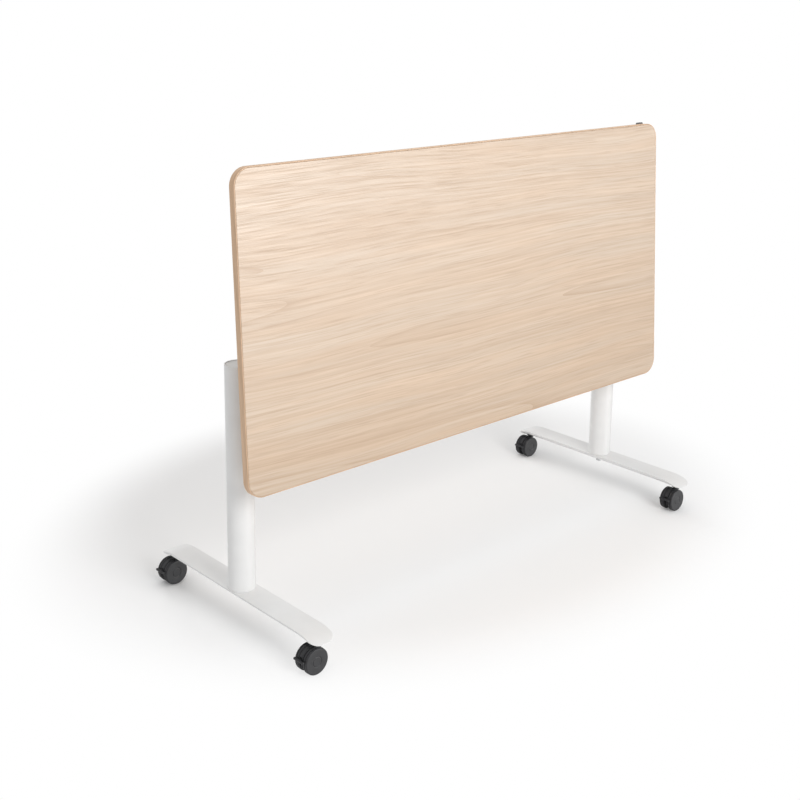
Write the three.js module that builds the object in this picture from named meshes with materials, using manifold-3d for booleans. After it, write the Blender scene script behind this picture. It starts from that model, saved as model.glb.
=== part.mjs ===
// A flip top training table: two column legs on castored feet, with the top tipped up for nesting.
// Millimetres, +Z up. The origin is on the floor midway between the columns.
// X runs along the table, and the tipped-up working face looks toward -Y.
import * as THREE from 'three';
import { mergeVertices } from 'three/addons/utils/BufferGeometryUtils.js';
import Module from 'manifold-3d';

const wasm = await Module();
wasm.setup();

// Tabletop
const TOP_LENGTH = 1400;
const TOP_DEPTH = 700;
const BOARD_THICKNESS = 18;
const TOP_CORNER_RADIUS = 40;
const EDGE_BAND_THICKNESS = 2;
const WORKING_HEIGHT = 740;
const FLIP_DEGREES = 87;

// Pivot axis, measured from the level top: below its underside and in front of the column axes
const PIVOT_DROP = 61;
const PIVOT_FORWARD = 32;

// Columns, feet and crossbeam
const COLUMN_INSET = 68;
const COLUMN_DIAMETER = 62;
const COLUMN_WALL = 2.5;
const COLUMN_BELOW_PIVOT = 55;
const CAP_RECESS = 0.8;
const CAP_THICKNESS = 3;
const CAP_SKIRT_DEPTH = 14;
const CAP_SKIRT_WALL = 2;
const PLUG_THICKNESS = 14;
const COLUMN_BOLT_DIAMETER = 10;
const COLUMN_BOLT_HEAD_DIAMETER = 16;
const COLUMN_BOLT_HEAD_HEIGHT = 8;
const FOOT_LENGTH = 594;
const FOOT_WIDTH = 63;
const FOOT_THICKNESS = 17;
const FOOT_EDGE_HEIGHT = 4.5;
const FOOT_UNDERCUT = 19;
const FOOT_TIP_RADIUS = 24;
const FOOT_DROOP = 14;
const FOOT_DROOP_LENGTH = 57;
const BEAM_DEPTH = 30;
const BEAM_HEIGHT = 60;
const BEAM_WALL = 2;
const BEAM_CORNER_RADIUS = 4;
const BEAM_BELOW_COLUMN_TOP = 10;

// Hinge at each end: a forked bracket on the beam and an arm under the board
const HINGE_FROM_COLUMN = 41;
const ARM_PLATE = 12;
const ARM_EDGE_RADIUS = 14;
const ARM_FLANGE_WIDTH = 60;
const ARM_FLANGE_THICKNESS = 5;
const ARM_FRONT = 60;
const ARM_REAR = 100;
const ARM_FLANGE_OVERHANG = 30;
const CHEEK_CLEARANCE = 3;
const CHEEK_PLATE = 5;
const CHEEK_PIVOT_RADIUS = 17;
const CHEEK_PIN_RADIUS = 14;
const BRACKET_BASE = 5;
const PIVOT_PIN_DIAMETER = 12;
const PIVOT_PIN_HEAD_DIAMETER = 20;
const PIVOT_PIN_HEAD_HEIGHT = 4;
const PIVOT_BUSH_DIAMETER = 18;
const STOP_PIN_DIAMETER = 10;
const STOP_PIN_HEAD_DIAMETER = 15;
const STOP_PIN_HEAD_HEIGHT = 3;
const STOP_SLEEVE_DIAMETER = 16;
const LOCK_REACH = 78;
const FLIP_STOP_REACH = 34;

// Latch: a shaft under the board with a hook at each end and one handle between them
const RELEASE_SHAFT_DIAMETER = 12;
const RELEASE_SHAFT_BEHIND_PIVOT = 75;
const RELEASE_SHAFT_BELOW_BOARD = 26;
const RELEASE_SHAFT_OVERRUN = 8;
const HOOK_PLATE = 6;
const HOOK_BOSS_RADIUS = 10;
const HOOK_BACK_RADIUS = 6;
const HOOK_NOSE_RADIUS = 3.6;
const HOOK_BACK_OFFSET = 13;
const HOOK_NOSE_DROP = 9.8;
const LOCK_PIN_BEYOND_HOOK = 5;
const HANDLE_WIDTH = 120;
const HANDLE_LENGTH = 95;
const HANDLE_PLATE = 4;
const HANDLE_CORNER_RADIUS = 20;
const HANDLE_SLOPE_DEGREES = 22;
const HANDLE_HUB_DIAMETER = 22;
const HANDLE_HUB_LENGTH = 60;
const SPRING_WIRE_DIAMETER = 1.6;
const SPRING_TURNS = 4;
const SPRING_PITCH = 2.4;

// Link plate under the rear edge of the top
const LINK_PLATE_WIDTH = 28;
const LINK_PLATE_LENGTH = 60;
const LINK_PLATE_THICKNESS = 3;
const LINK_PLATE_OVERHANG = 4;
const LINK_PLATE_FROM_END = 50;

// Casters
const CASTER_INSET = 29;
const CASTER_TRAIL = 15;
const WHEEL_DIAMETER = 60;
const WHEEL_WIDTH = 13;
const WHEEL_EDGE_RADIUS = 2;
const WHEEL_RIM_WIDTH = 3.5;
const WHEEL_FACE_RECESS = 0.5;
const WHEEL_BORE_DEPTH = 9;
const WHEEL_SIDE_CLEARANCE = 0.5;
const AXLE_DIAMETER = 8;
const HOOD_PLATE = 12;
const HOOD_CHORD_DEGREES = 20;
const HOOD_NECK_DIAMETER = 20;
const HOOD_NECK_CLEARANCE = 1;
const HOOD_NECK_CUT_DEGREES = 60;
const NECK_RISE = 4;
const STEM_COLLAR_DIAMETER = 18;
const STEM_COLLAR_THICKNESS = 3;
const STEM_PIN_DIAMETER = 8;
const STEM_PIN_LENGTH = 10;
const STEM_STUD_DIAMETER = 10;
const STEM_STUD_RISE = 8;
const BRAKE_PLATE = 6;
const BRAKE_PIVOT_BEHIND_AXLE = 17;
const BRAKE_PIVOT_ABOVE_AXLE = 3.6;
const BRAKE_PIVOT_DIAMETER = 5;
const BRAKE_BOSS_RADIUS = 5;
const BRAKE_BAR_BEYOND_WHEEL = 3.5;
const BRAKE_BAR_ABOVE_AXLE = 7;
const BRAKE_BAR_DIAMETER = 6;
const BRAKE_BAR_LENGTH = 32;

// Clearances
const SEAT_GAP = 0.3;
const RUNNING_GAP = 0.3;
const BRAKE_SLOT_GAP = 0.5;

// Segment counts of round shapes
const COLUMN_SEGMENTS = 32;
const WHEEL_SEGMENTS = 24;
const PIN_SEGMENTS = 12;
const ARC_SEGMENTS = 4;
const SPRING_STEPS_PER_TURN = 8;
const WIRE_SIDES = 5;

// Heights that follow from the sizes above
const footSeat = WHEEL_DIAMETER + NECK_RISE + STEM_COLLAR_THICKNESS + 2 * SEAT_GAP;
const footTop = footSeat + FOOT_THICKNESS;
const pivotHeight = WORKING_HEIGHT - BOARD_THICKNESS - PIVOT_DROP;
const columnTop = pivotHeight - COLUMN_BELOW_PIVOT;
const beamTop = columnTop - BEAM_BELOW_COLUMN_TOP;
const flip = THREE.MathUtils.degToRad(FLIP_DEGREES);

// Positions along and across the table
const columnX = TOP_LENGTH / 2 - COLUMN_INSET;
const hingeX = columnX - COLUMN_DIAMETER / 2 - HINGE_FROM_COLUMN;
const cheekGap = ARM_PLATE + 2 * CHEEK_CLEARANCE;
const bracketWidth = cheekGap + 2 * CHEEK_PLATE;
const hookX = hingeX - bracketWidth / 2 - CHEEK_CLEARANCE - HOOK_PLATE / 2;
const casterY = FOOT_LENGTH / 2 - CASTER_INSET;

// Points of the hinge in the level top's own frame: y rearward and z up from the pivot axis
const flangeBottom = PIVOT_DROP - SEAT_GAP - ARM_FLANGE_THICKNESS;
const armFrontRoot = new THREE.Vector2(-ARM_FRONT, flangeBottom - ARM_EDGE_RADIUS);
const armRearRoot = new THREE.Vector2(ARM_REAR, flangeBottom - ARM_EDGE_RADIUS);
const releaseShaft = new THREE.Vector2(RELEASE_SHAFT_BEHIND_PIVOT, PIVOT_DROP - RELEASE_SHAFT_BELOW_BOARD);
const stopOffset = ARM_EDGE_RADIUS + STOP_SLEEVE_DIAMETER / 2 + SEAT_GAP;
const rearEdge = armRearRoot.clone().normalize();
const lockPin = new THREE.Vector2(
  LOCK_REACH * rearEdge.x + stopOffset * rearEdge.y,
  LOCK_REACH * rearEdge.y - stopOffset * rearEdge.x,
);
const frontEdge = armFrontRoot.clone().normalize();
const flipStopInArm = new THREE.Vector2(
  FLIP_STOP_REACH * frontEdge.x - stopOffset * frontEdge.y,
  FLIP_STOP_REACH * frontEdge.y + stopOffset * frontEdge.x,
);
const flipStop = flipStopInArm.clone().rotateAround(new THREE.Vector2(), flip);

// Solids from closed geometries, and back
function toSolid(geometry) {
  const bare = geometry.clone();
  bare.deleteAttribute('normal');
  bare.deleteAttribute('uv');
  const merged = mergeVertices(bare, 1e-4);
  const corners = merged.index.array;
  const triVerts = [];
  for (let i = 0; i < corners.length; i += 3) {
    const [a, b, c] = corners.slice(i, i + 3);
    if (a !== b && b !== c && c !== a) {
      triVerts.push(a, b, c);
    }
  }
  return new wasm.Manifold(new wasm.Mesh({
    numProp: 3,
    vertProperties: new Float32Array(merged.attributes.position.array),
    triVerts: new Uint32Array(triVerts),
  }));
}

function toGeometry(solid) {
  const mesh = solid.getMesh();
  const geometry = new THREE.BufferGeometry();
  geometry.setAttribute('position', new THREE.BufferAttribute(mesh.vertProperties, 3));
  geometry.setIndex(new THREE.BufferAttribute(mesh.triVerts, 1));
  geometry.computeVertexNormals();
  return geometry;
}

function join(first, ...others) {
  return toGeometry(others.reduce((solid, other) => solid.add(toSolid(other)), toSolid(first)));
}

function cut(first, ...others) {
  return toGeometry(others.reduce((solid, other) => solid.subtract(toSolid(other)), toSolid(first)));
}

function common(first, ...others) {
  return toGeometry(others.reduce((solid, other) => solid.intersect(toSolid(other)), toSolid(first)));
}

// Flat outlines
function roundedRectangle(width, height, radius) {
  const x = width / 2 - radius;
  const y = height / 2 - radius;
  const shape = new THREE.Shape();
  shape.absarc(x, y, radius, 0, Math.PI / 2);
  shape.absarc(-x, y, radius, Math.PI / 2, Math.PI);
  shape.absarc(-x, -y, radius, Math.PI, 1.5 * Math.PI);
  shape.absarc(x, -y, radius, 1.5 * Math.PI, 2 * Math.PI);
  return shape;
}

function ring(outerRadius, innerRadius) {
  const shape = new THREE.Shape();
  shape.absarc(0, 0, outerRadius, 0, 2 * Math.PI);
  const hole = new THREE.Path();
  hole.absarc(0, 0, innerRadius, 0, 2 * Math.PI);
  shape.holes.push(hole);
  return shape;
}

// The outline of a band stretched round discs given as [x, y, radius]
function discHull(discs) {
  const points = discs.flatMap(([x, y, radius]) => Array.from({ length: PIN_SEGMENTS }, (_, step) => {
    const angle = (step * 2 * Math.PI) / PIN_SEGMENTS;
    return new THREE.Vector2(x + radius * Math.cos(angle), y + radius * Math.sin(angle));
  }));
  points.sort((a, b) => a.x - b.x || a.y - b.y);
  const halfHull = (ordered) => {
    const chain = [];
    for (const point of ordered) {
      while (chain.length > 1) {
        const last = chain[chain.length - 1];
        const turn = last.clone().sub(chain[chain.length - 2]).cross(point.clone().sub(last));
        if (turn > 1e-6) {
          break;
        }
        chain.pop();
      }
      chain.push(point);
    }
    return chain.slice(0, -1);
  };
  return new THREE.Shape([...halfHull(points), ...halfHull([...points].reverse())]);
}

// Plates pushed out along each axis from an outline; the outline reads (x, y), (x, z) or (y, z)
function plateAlongZ(shape, from, to, curveSegments = ARC_SEGMENTS) {
  const plate = new THREE.ExtrudeGeometry(shape, { depth: to - from, bevelEnabled: false, curveSegments });
  return plate.translate(0, 0, from);
}

function plateAlongY(shape, from, to, curveSegments = ARC_SEGMENTS) {
  return plateAlongZ(shape, -to, -from, curveSegments).rotateX(Math.PI / 2);
}

function plateAlongX(shape, from, to, curveSegments = ARC_SEGMENTS) {
  return plateAlongZ(shape, from, to, curveSegments).rotateZ(Math.PI / 2).rotateY(Math.PI / 2);
}

function box(fromX, toX, fromY, toY, fromZ, toZ) {
  const block = new THREE.BoxGeometry(toX - fromX, toY - fromY, toZ - fromZ);
  return block.translate((fromX + toX) / 2, (fromY + toY) / 2, (fromZ + toZ) / 2);
}

// Turned pieces: a profile of [radius, distance along the axis], outside to the right of its travel
function turnedAlongY(profile, segments = PIN_SEGMENTS) {
  return new THREE.LatheGeometry(profile.map(([radius, along]) => new THREE.Vector2(radius, along)), segments);
}

function turnedAlongZ(profile, segments = PIN_SEGMENTS) {
  return turnedAlongY(profile, segments).rotateX(Math.PI / 2);
}

function turnedAlongX(profile, segments = PIN_SEGMENTS) {
  return turnedAlongY(profile, segments).rotateZ(-Math.PI / 2);
}

function rodProfile(radius, from, to) {
  return [[0, from], [radius, from], [radius, to], [0, to]];
}

function sleeveProfile(outerRadius, innerRadius, from, to) {
  return [[innerRadius, from], [outerRadius, from], [outerRadius, to], [innerRadius, to], [innerRadius, from]];
}

// Finishes
const FINISHES = {
  oak: { color: 0xe3d0b6, roughness: 0.55, metalness: 0 },
  oakEdge: { color: 0xb2967d, roughness: 0.6, metalness: 0 },
  whitePaint: { color: 0xe9e9e7, roughness: 0.42, metalness: 0 },
  whitePlastic: { color: 0xe2e2e0, roughness: 0.5, metalness: 0 },
  charcoal: { color: 0x3a3b3e, roughness: 0.5, metalness: 0 },
  steel: { color: 0xb8bbbf, roughness: 0.32, metalness: 1 },
  darkSteel: { color: 0x4a4c50, roughness: 0.45, metalness: 0.9 },
  rubber: { color: 0x202022, roughness: 0.85, metalness: 0 },
};

function addPiece(group, name, geometry, finish) {
  const piece = new THREE.Mesh(geometry, new THREE.MeshStandardMaterial(FINISHES[finish]));
  piece.name = name;
  group.add(piece);
  return piece;
}

// A foot is flat above and below. Its top turns down at the tips, and its sides are drawn in below a thin edge
function footGeometry() {
  const halfLength = FOOT_LENGTH / 2;
  const halfWidth = FOOT_WIDTH / 2;
  const droopStart = halfLength - FOOT_DROOP_LENGTH;
  const droopMiddle = halfLength - FOOT_DROOP_LENGTH / 2;
  const tipTop = footTop - FOOT_DROOP;
  const profile = new THREE.Shape();
  profile.moveTo(-halfLength, footSeat);
  profile.lineTo(halfLength, footSeat);
  profile.lineTo(halfLength, tipTop);
  profile.quadraticCurveTo(droopMiddle, footTop, droopStart, footTop);
  profile.lineTo(-droopStart, footTop);
  profile.quadraticCurveTo(-droopMiddle, footTop, -halfLength, tipTop);
  const section = new THREE.Shape();
  section.moveTo(-halfWidth + FOOT_UNDERCUT, footSeat - 1);
  section.lineTo(halfWidth - FOOT_UNDERCUT, footSeat - 1);
  section.lineTo(halfWidth + 0.5, footTop - FOOT_EDGE_HEIGHT);
  section.lineTo(halfWidth + 0.5, footTop + 1);
  section.lineTo(-halfWidth - 0.5, footTop + 1);
  section.lineTo(-halfWidth - 0.5, footTop - FOOT_EDGE_HEIGHT);
  const blank = common(
    plateAlongX(profile, -FOOT_WIDTH, FOOT_WIDTH),
    plateAlongY(section, -FOOT_LENGTH, FOOT_LENGTH),
    plateAlongZ(roundedRectangle(FOOT_WIDTH, FOOT_LENGTH, FOOT_TIP_RADIUS), 0, footTop + 2),
  );
  const studRadius = STEM_STUD_DIAMETER / 2 + SEAT_GAP;
  const studHole = turnedAlongZ(rodProfile(studRadius, footSeat - 2, footSeat + STEM_STUD_RISE));
  const boltRadius = COLUMN_BOLT_DIAMETER / 2 + SEAT_GAP;
  return cut(
    blank,
    turnedAlongZ(rodProfile(boltRadius, footSeat - 2, footTop + 2)),
    studHole.clone().translate(0, casterY, 0),
    studHole.clone().translate(0, -casterY, 0),
  );
}

function columnGeometry() {
  const radius = COLUMN_DIAMETER / 2;
  return plateAlongZ(ring(radius, radius - COLUMN_WALL), footTop + SEAT_GAP, columnTop, COLUMN_SEGMENTS / 2);
}

function columnCapGeometry() {
  const radius = COLUMN_DIAMETER / 2 - COLUMN_WALL - SEAT_GAP;
  const top = columnTop - CAP_RECESS;
  const under = top - CAP_THICKNESS;
  const skirtEnd = top - CAP_SKIRT_DEPTH;
  const inside = radius - CAP_SKIRT_WALL;
  const profile = [[0, under], [inside, under], [inside, skirtEnd], [radius, skirtEnd], [radius, top], [0, top]];
  return turnedAlongZ(profile, COLUMN_SEGMENTS);
}

function columnPlugGeometry() {
  const radius = COLUMN_DIAMETER / 2 - COLUMN_WALL - SEAT_GAP;
  const bore = COLUMN_BOLT_DIAMETER / 2 + SEAT_GAP;
  const bottom = footTop + SEAT_GAP;
  return turnedAlongZ(sleeveProfile(radius, bore, bottom, bottom + PLUG_THICKNESS));
}

function columnBoltGeometry() {
  const headTop = footSeat - SEAT_GAP;
  const headBottom = headTop - COLUMN_BOLT_HEAD_HEIGHT;
  const tip = footTop + SEAT_GAP + PLUG_THICKNESS;
  const head = COLUMN_BOLT_HEAD_DIAMETER / 2;
  const shank = COLUMN_BOLT_DIAMETER / 2;
  return turnedAlongZ([[0, headBottom], [head, headBottom], [head, headTop], [shank, headTop], [shank, tip], [0, tip]]);
}

// The beam's ends are scooped to the round of the columns
function crossbeamGeometry() {
  const section = roundedRectangle(BEAM_DEPTH, BEAM_HEIGHT, BEAM_CORNER_RADIUS);
  section.holes.push(roundedRectangle(
    BEAM_DEPTH - 2 * BEAM_WALL,
    BEAM_HEIGHT - 2 * BEAM_WALL,
    BEAM_CORNER_RADIUS - BEAM_WALL,
  ));
  const middle = beamTop - BEAM_HEIGHT / 2;
  const tube = plateAlongX(section, -columnX, columnX, 3).translate(0, 0, middle);
  const scoop = turnedAlongZ(
    rodProfile(COLUMN_DIAMETER / 2 + SEAT_GAP, middle - BEAM_HEIGHT, middle + BEAM_HEIGHT),
    COLUMN_SEGMENTS,
  );
  return cut(tube, scoop.clone().translate(columnX, 0, 0), scoop.clone().translate(-columnX, 0, 0));
}

// Bracket: a base on the beam and two cheeks that carry the pivot, the lock pin and the flip stop.
// It is drawn about the pivot axis.
function hingeBracketGeometry() {
  const baseBottom = beamTop + SEAT_GAP - pivotHeight;
  const footing = BEAM_DEPTH / 2 - 2;
  const outline = discHull([
    [0, 0, CHEEK_PIVOT_RADIUS],
    [lockPin.x, lockPin.y, CHEEK_PIN_RADIUS],
    [flipStop.x, flipStop.y, CHEEK_PIN_RADIUS],
    [PIVOT_FORWARD - footing, baseBottom + 2, 2],
    [PIVOT_FORWARD + footing, baseBottom + 2, 2],
  ]);
  const fork = cut(
    plateAlongX(outline, -bracketWidth / 2, bracketWidth / 2),
    box(-cheekGap / 2, cheekGap / 2, -300, 300, baseBottom + BRACKET_BASE, 300),
  );
  const pinBore = turnedAlongX(rodProfile(STOP_PIN_DIAMETER / 2 + SEAT_GAP, -bracketWidth, bracketWidth));
  return cut(
    fork,
    turnedAlongX(rodProfile(PIVOT_PIN_DIAMETER / 2 + SEAT_GAP, -bracketWidth, bracketWidth)),
    pinBore.clone().translate(0, lockPin.x, lockPin.y),
    pinBore.clone().translate(0, flipStop.x, flipStop.y),
  );
}

function pivotPinGeometry() {
  const seat = bracketWidth / 2 + SEAT_GAP;
  const end = seat + PIVOT_PIN_HEAD_HEIGHT;
  const head = PIVOT_PIN_HEAD_DIAMETER / 2;
  const shank = PIVOT_PIN_DIAMETER / 2;
  return turnedAlongX([
    [0, -end], [head, -end], [head, -seat], [shank, -seat],
    [shank, seat], [head, seat], [head, end], [0, end],
  ]);
}

// The lock pin's headed end is toward the column, and its other end reaches past the latch hook
function lockPinGeometry() {
  const seat = bracketWidth / 2 + SEAT_GAP;
  const reach = bracketWidth / 2 + CHEEK_CLEARANCE + HOOK_PLATE + LOCK_PIN_BEYOND_HOOK;
  const head = STOP_PIN_HEAD_DIAMETER / 2;
  const shank = STOP_PIN_DIAMETER / 2;
  const end = seat + STOP_PIN_HEAD_HEIGHT;
  return turnedAlongX([[0, -reach], [shank, -reach], [shank, seat], [head, seat], [head, end], [0, end]]);
}

function lockSleeveGeometry() {
  const half = cheekGap / 2 - SEAT_GAP;
  const bore = STOP_PIN_DIAMETER / 2 + SEAT_GAP;
  return turnedAlongX(sleeveProfile(STOP_SLEEVE_DIAMETER / 2, bore, -half, half));
}

function flipStopGeometry() {
  const half = cheekGap / 2 - SEAT_GAP;
  const end = bracketWidth / 2;
  const body = STOP_SLEEVE_DIAMETER / 2;
  const pin = STOP_PIN_DIAMETER / 2;
  return turnedAlongX([
    [0, -end], [pin, -end], [pin, -half], [body, -half],
    [body, half], [pin, half], [pin, end], [0, end],
  ]);
}

// Arm: a web between the cheeks with a flange that is screwed under the board
function hingeArmGeometry() {
  const web = discHull([
    [0, 0, ARM_EDGE_RADIUS],
    [armFrontRoot.x, armFrontRoot.y, ARM_EDGE_RADIUS],
    [armRearRoot.x, armRearRoot.y, ARM_EDGE_RADIUS],
    [armFrontRoot.x - ARM_EDGE_RADIUS + 1, flangeBottom + 1, 1],
    [armRearRoot.x + ARM_EDGE_RADIUS - 1, flangeBottom + 1, 1],
  ]);
  const flangeStart = -ARM_FRONT - ARM_FLANGE_OVERHANG;
  const flangeEnd = ARM_REAR + ARM_FLANGE_OVERHANG;
  const flange = plateAlongZ(
    roundedRectangle(ARM_FLANGE_WIDTH, flangeEnd - flangeStart, 8),
    flangeBottom,
    flangeBottom + ARM_FLANGE_THICKNESS,
    3,
  ).translate(0, (flangeStart + flangeEnd) / 2, 0);
  const shaftBore = rodProfile(RELEASE_SHAFT_DIAMETER / 2 + RUNNING_GAP, -ARM_PLATE, ARM_PLATE);
  return cut(
    join(plateAlongX(web, -ARM_PLATE / 2, ARM_PLATE / 2), flange),
    turnedAlongX(rodProfile(PIVOT_BUSH_DIAMETER / 2 + SEAT_GAP, -ARM_PLATE, ARM_PLATE)),
    turnedAlongX(shaftBore).translate(0, releaseShaft.x, releaseShaft.y),
  );
}

function pivotBushGeometry() {
  const half = cheekGap / 2 - SEAT_GAP;
  const bore = PIVOT_PIN_DIAMETER / 2 + RUNNING_GAP;
  return turnedAlongX(sleeveProfile(PIVOT_BUSH_DIAMETER / 2, bore, -half, half));
}

// Hook: drawn about the release shaft, it hangs down behind the lock pin and its nose passes under
function latchHookGeometry() {
  const pin = lockPin.clone().sub(releaseShaft);
  const back = [pin.x + HOOK_BACK_OFFSET, pin.y, HOOK_BACK_RADIUS];
  const nose = [pin.x + 1, pin.y - HOOK_NOSE_DROP, HOOK_NOSE_RADIUS];
  const half = HOOK_PLATE / 2;
  const shank = plateAlongX(discHull([[0, 0, HOOK_BOSS_RADIUS], back]), -half, half);
  const tip = plateAlongX(discHull([back, nose]), -half, half);
  const mouth = turnedAlongX(rodProfile(STOP_PIN_DIAMETER / 2 + SEAT_GAP, -HOOK_PLATE, HOOK_PLATE));
  const bore = turnedAlongX(rodProfile(RELEASE_SHAFT_DIAMETER / 2 + SEAT_GAP, -HOOK_PLATE, HOOK_PLATE));
  return cut(join(shank, tip), mouth.translate(0, pin.x, pin.y), bore);
}

// Handle: a paddle on a hub, sloping down to the rear of the shaft
function releaseHandleGeometry() {
  const hubRadius = HANDLE_HUB_DIAMETER / 2;
  const hub = turnedAlongX(rodProfile(hubRadius, -HANDLE_HUB_LENGTH / 2, HANDLE_HUB_LENGTH / 2));
  const paddle = plateAlongZ(
    roundedRectangle(HANDLE_WIDTH, HANDLE_LENGTH, HANDLE_CORNER_RADIUS),
    -HANDLE_PLATE / 2,
    HANDLE_PLATE / 2,
  );
  paddle.translate(0, HANDLE_LENGTH / 2 + RELEASE_SHAFT_DIAMETER / 2 + 1, 0);
  paddle.rotateX(-THREE.MathUtils.degToRad(HANDLE_SLOPE_DEGREES));
  const bore = rodProfile(RELEASE_SHAFT_DIAMETER / 2 + SEAT_GAP, -HANDLE_WIDTH, HANDLE_WIDTH);
  return cut(join(hub, paddle), turnedAlongX(bore));
}

// Round wire along a line of points: a ring of corners across the line at each point, and two flat ends
function wireGeometry(points, radius) {
  const positions = [];
  const triangles = [];
  const normal = new THREE.Vector3(1, 0, 0);
  let lastTangent = null;
  points.forEach((point, step) => {
    const before = points[Math.max(step - 1, 0)];
    const after = points[Math.min(step + 1, points.length - 1)];
    const tangent = after.clone().sub(before).normalize();
    if (lastTangent) {
      normal.applyQuaternion(new THREE.Quaternion().setFromUnitVectors(lastTangent, tangent));
    }
    lastTangent = tangent;
    const across = tangent.clone().cross(normal);
    for (let corner = 0; corner < WIRE_SIDES; corner += 1) {
      const angle = (corner * 2 * Math.PI) / WIRE_SIDES;
      const place = point.clone();
      place.addScaledVector(normal, radius * Math.cos(angle));
      place.addScaledVector(across, radius * Math.sin(angle));
      positions.push(place.x, place.y, place.z);
    }
  });
  const lastRing = (points.length - 1) * WIRE_SIDES;
  for (let ringStart = 0; ringStart < lastRing; ringStart += WIRE_SIDES) {
    for (let corner = 0; corner < WIRE_SIDES; corner += 1) {
      const a = ringStart + corner;
      const b = ringStart + ((corner + 1) % WIRE_SIDES);
      triangles.push(a, b, a + WIRE_SIDES, b, b + WIRE_SIDES, a + WIRE_SIDES);
    }
  }
  for (let corner = 1; corner < WIRE_SIDES - 1; corner += 1) {
    triangles.push(0, corner + 1, corner);
    triangles.push(lastRing, lastRing + corner, lastRing + corner + 1);
  }
  const geometry = new THREE.BufferGeometry();
  geometry.setAttribute('position', new THREE.Float32BufferAttribute(positions, 3));
  geometry.setIndex(triangles);
  geometry.computeVertexNormals();
  return geometry;
}

// The least gap between stretches of one wire that are at least half a curl apart
function leastGapToItself(points, radius) {
  let least = Infinity;
  points.forEach((point, step) => {
    for (const other of points.slice(step + SPRING_STEPS_PER_TURN / 2)) {
      least = Math.min(least, point.distanceTo(other) - 2 * radius);
    }
  });
  return least;
}

// Return spring: curls round the shaft beside the hook, with one leg up to the arm's flange
function releaseSpringGeometry(side) {
  const wire = SPRING_WIRE_DIAMETER / 2;
  const clear = RELEASE_SHAFT_DIAMETER / 2 + RUNNING_GAP + wire;
  const coil = clear / Math.cos(Math.PI / SPRING_STEPS_PER_TURN);
  const start = hookX - HOOK_PLATE / 2 - wire - SEAT_GAP;
  const flangeRoom = flangeBottom - releaseShaft.y - SEAT_GAP;
  const points = [new THREE.Vector3(side * start, coil, flangeRoom)];
  for (let step = 0; step <= SPRING_TURNS * SPRING_STEPS_PER_TURN; step += 1) {
    const angle = (step * 2 * Math.PI) / SPRING_STEPS_PER_TURN;
    const along = start - (step / SPRING_STEPS_PER_TURN) * SPRING_PITCH;
    points.push(new THREE.Vector3(side * along, coil * Math.cos(angle), -coil * Math.sin(angle)));
  }
  const last = points[points.length - 1];
  points.push(new THREE.Vector3(last.x, last.y, last.z - 2 * coil));
  console.log(`release spring: least gap to itself ${leastGapToItself(points, wire).toFixed(2)} mm`);
  return wireGeometry(points, wire);
}

// Caster pieces are drawn about the stem's axis at floor level; the axle trails toward -X
const wheelRadius = WHEEL_DIAMETER / 2;
const wheelInside = HOOD_PLATE / 2 + WHEEL_SIDE_CLEARANCE;
const collarBottom = footSeat - SEAT_GAP - STEM_COLLAR_THICKNESS;
const stemBottom = collarBottom - STEM_PIN_LENGTH;

function casterStemGeometry() {
  const pin = STEM_PIN_DIAMETER / 2;
  const collar = STEM_COLLAR_DIAMETER / 2;
  const stud = STEM_STUD_DIAMETER / 2;
  const collarTop = footSeat - SEAT_GAP;
  const studTop = collarTop + STEM_STUD_RISE;
  return turnedAlongZ([
    [0, stemBottom], [pin, stemBottom], [pin, collarBottom], [collar, collarBottom],
    [collar, collarTop], [stud, collarTop], [stud, studTop], [0, studTop],
  ]);
}

const brakePivot = [-CASTER_TRAIL - BRAKE_PIVOT_BEHIND_AXLE, wheelRadius + BRAKE_PIVOT_ABOVE_AXLE];

function casterHoodGeometry() {
  const chord = THREE.MathUtils.degToRad(HOOD_CHORD_DEGREES);
  const outline = new THREE.Shape();
  outline.absarc(-CASTER_TRAIL, wheelRadius, wheelRadius, -chord, Math.PI + chord);
  const half = HOOD_PLATE / 2;
  const neckTop = collarBottom - SEAT_GAP;
  const neckRadius = HOOD_NECK_DIAMETER / 2;
  const lean = THREE.MathUtils.degToRad(HOOD_NECK_CUT_DEGREES);
  const clearRadius = wheelRadius + HOOD_NECK_CLEARANCE;
  const neckUnder = (x) => wheelRadius + (clearRadius - (x + CASTER_TRAIL) * Math.cos(lean)) / Math.sin(lean);
  const neckSide = new THREE.Shape();
  neckSide.moveTo(-neckRadius - 1, neckUnder(-neckRadius - 1));
  neckSide.lineTo(neckRadius + 1, neckUnder(neckRadius + 1));
  neckSide.lineTo(neckRadius + 1, neckTop);
  neckSide.lineTo(-neckRadius - 1, neckTop);
  const neck = common(
    turnedAlongZ(rodProfile(neckRadius, wheelRadius, neckTop)),
    plateAlongY(neckSide, -neckRadius - 1, neckRadius + 1),
  );
  const post = turnedAlongZ(rodProfile(half, wheelRadius, neckTop));
  const socketRadius = STEM_PIN_DIAMETER / 2 + RUNNING_GAP;
  const axleBore = turnedAlongY(rodProfile(AXLE_DIAMETER / 2 + SEAT_GAP, -HOOD_PLATE, HOOD_PLATE));
  const pivotBore = turnedAlongY(rodProfile(BRAKE_PIVOT_DIAMETER / 2 + RUNNING_GAP, -HOOD_PLATE, HOOD_PLATE));
  const slotHalf = BRAKE_PLATE / 2 + BRAKE_SLOT_GAP;
  const slotEnd = brakePivot[0] + BRAKE_BOSS_RADIUS + 2;
  return cut(
    join(plateAlongY(outline, -half, half, 8), post, neck),
    turnedAlongZ(rodProfile(socketRadius, stemBottom - SEAT_GAP, neckTop + 2)),
    axleBore.translate(-CASTER_TRAIL, 0, wheelRadius),
    box(slotEnd - 60, slotEnd, -slotHalf, slotHalf, 0, brakePivot[1] + BRAKE_BOSS_RADIUS + 4),
    pivotBore.translate(brakePivot[0], 0, brakePivot[1]),
  );
}

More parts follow.
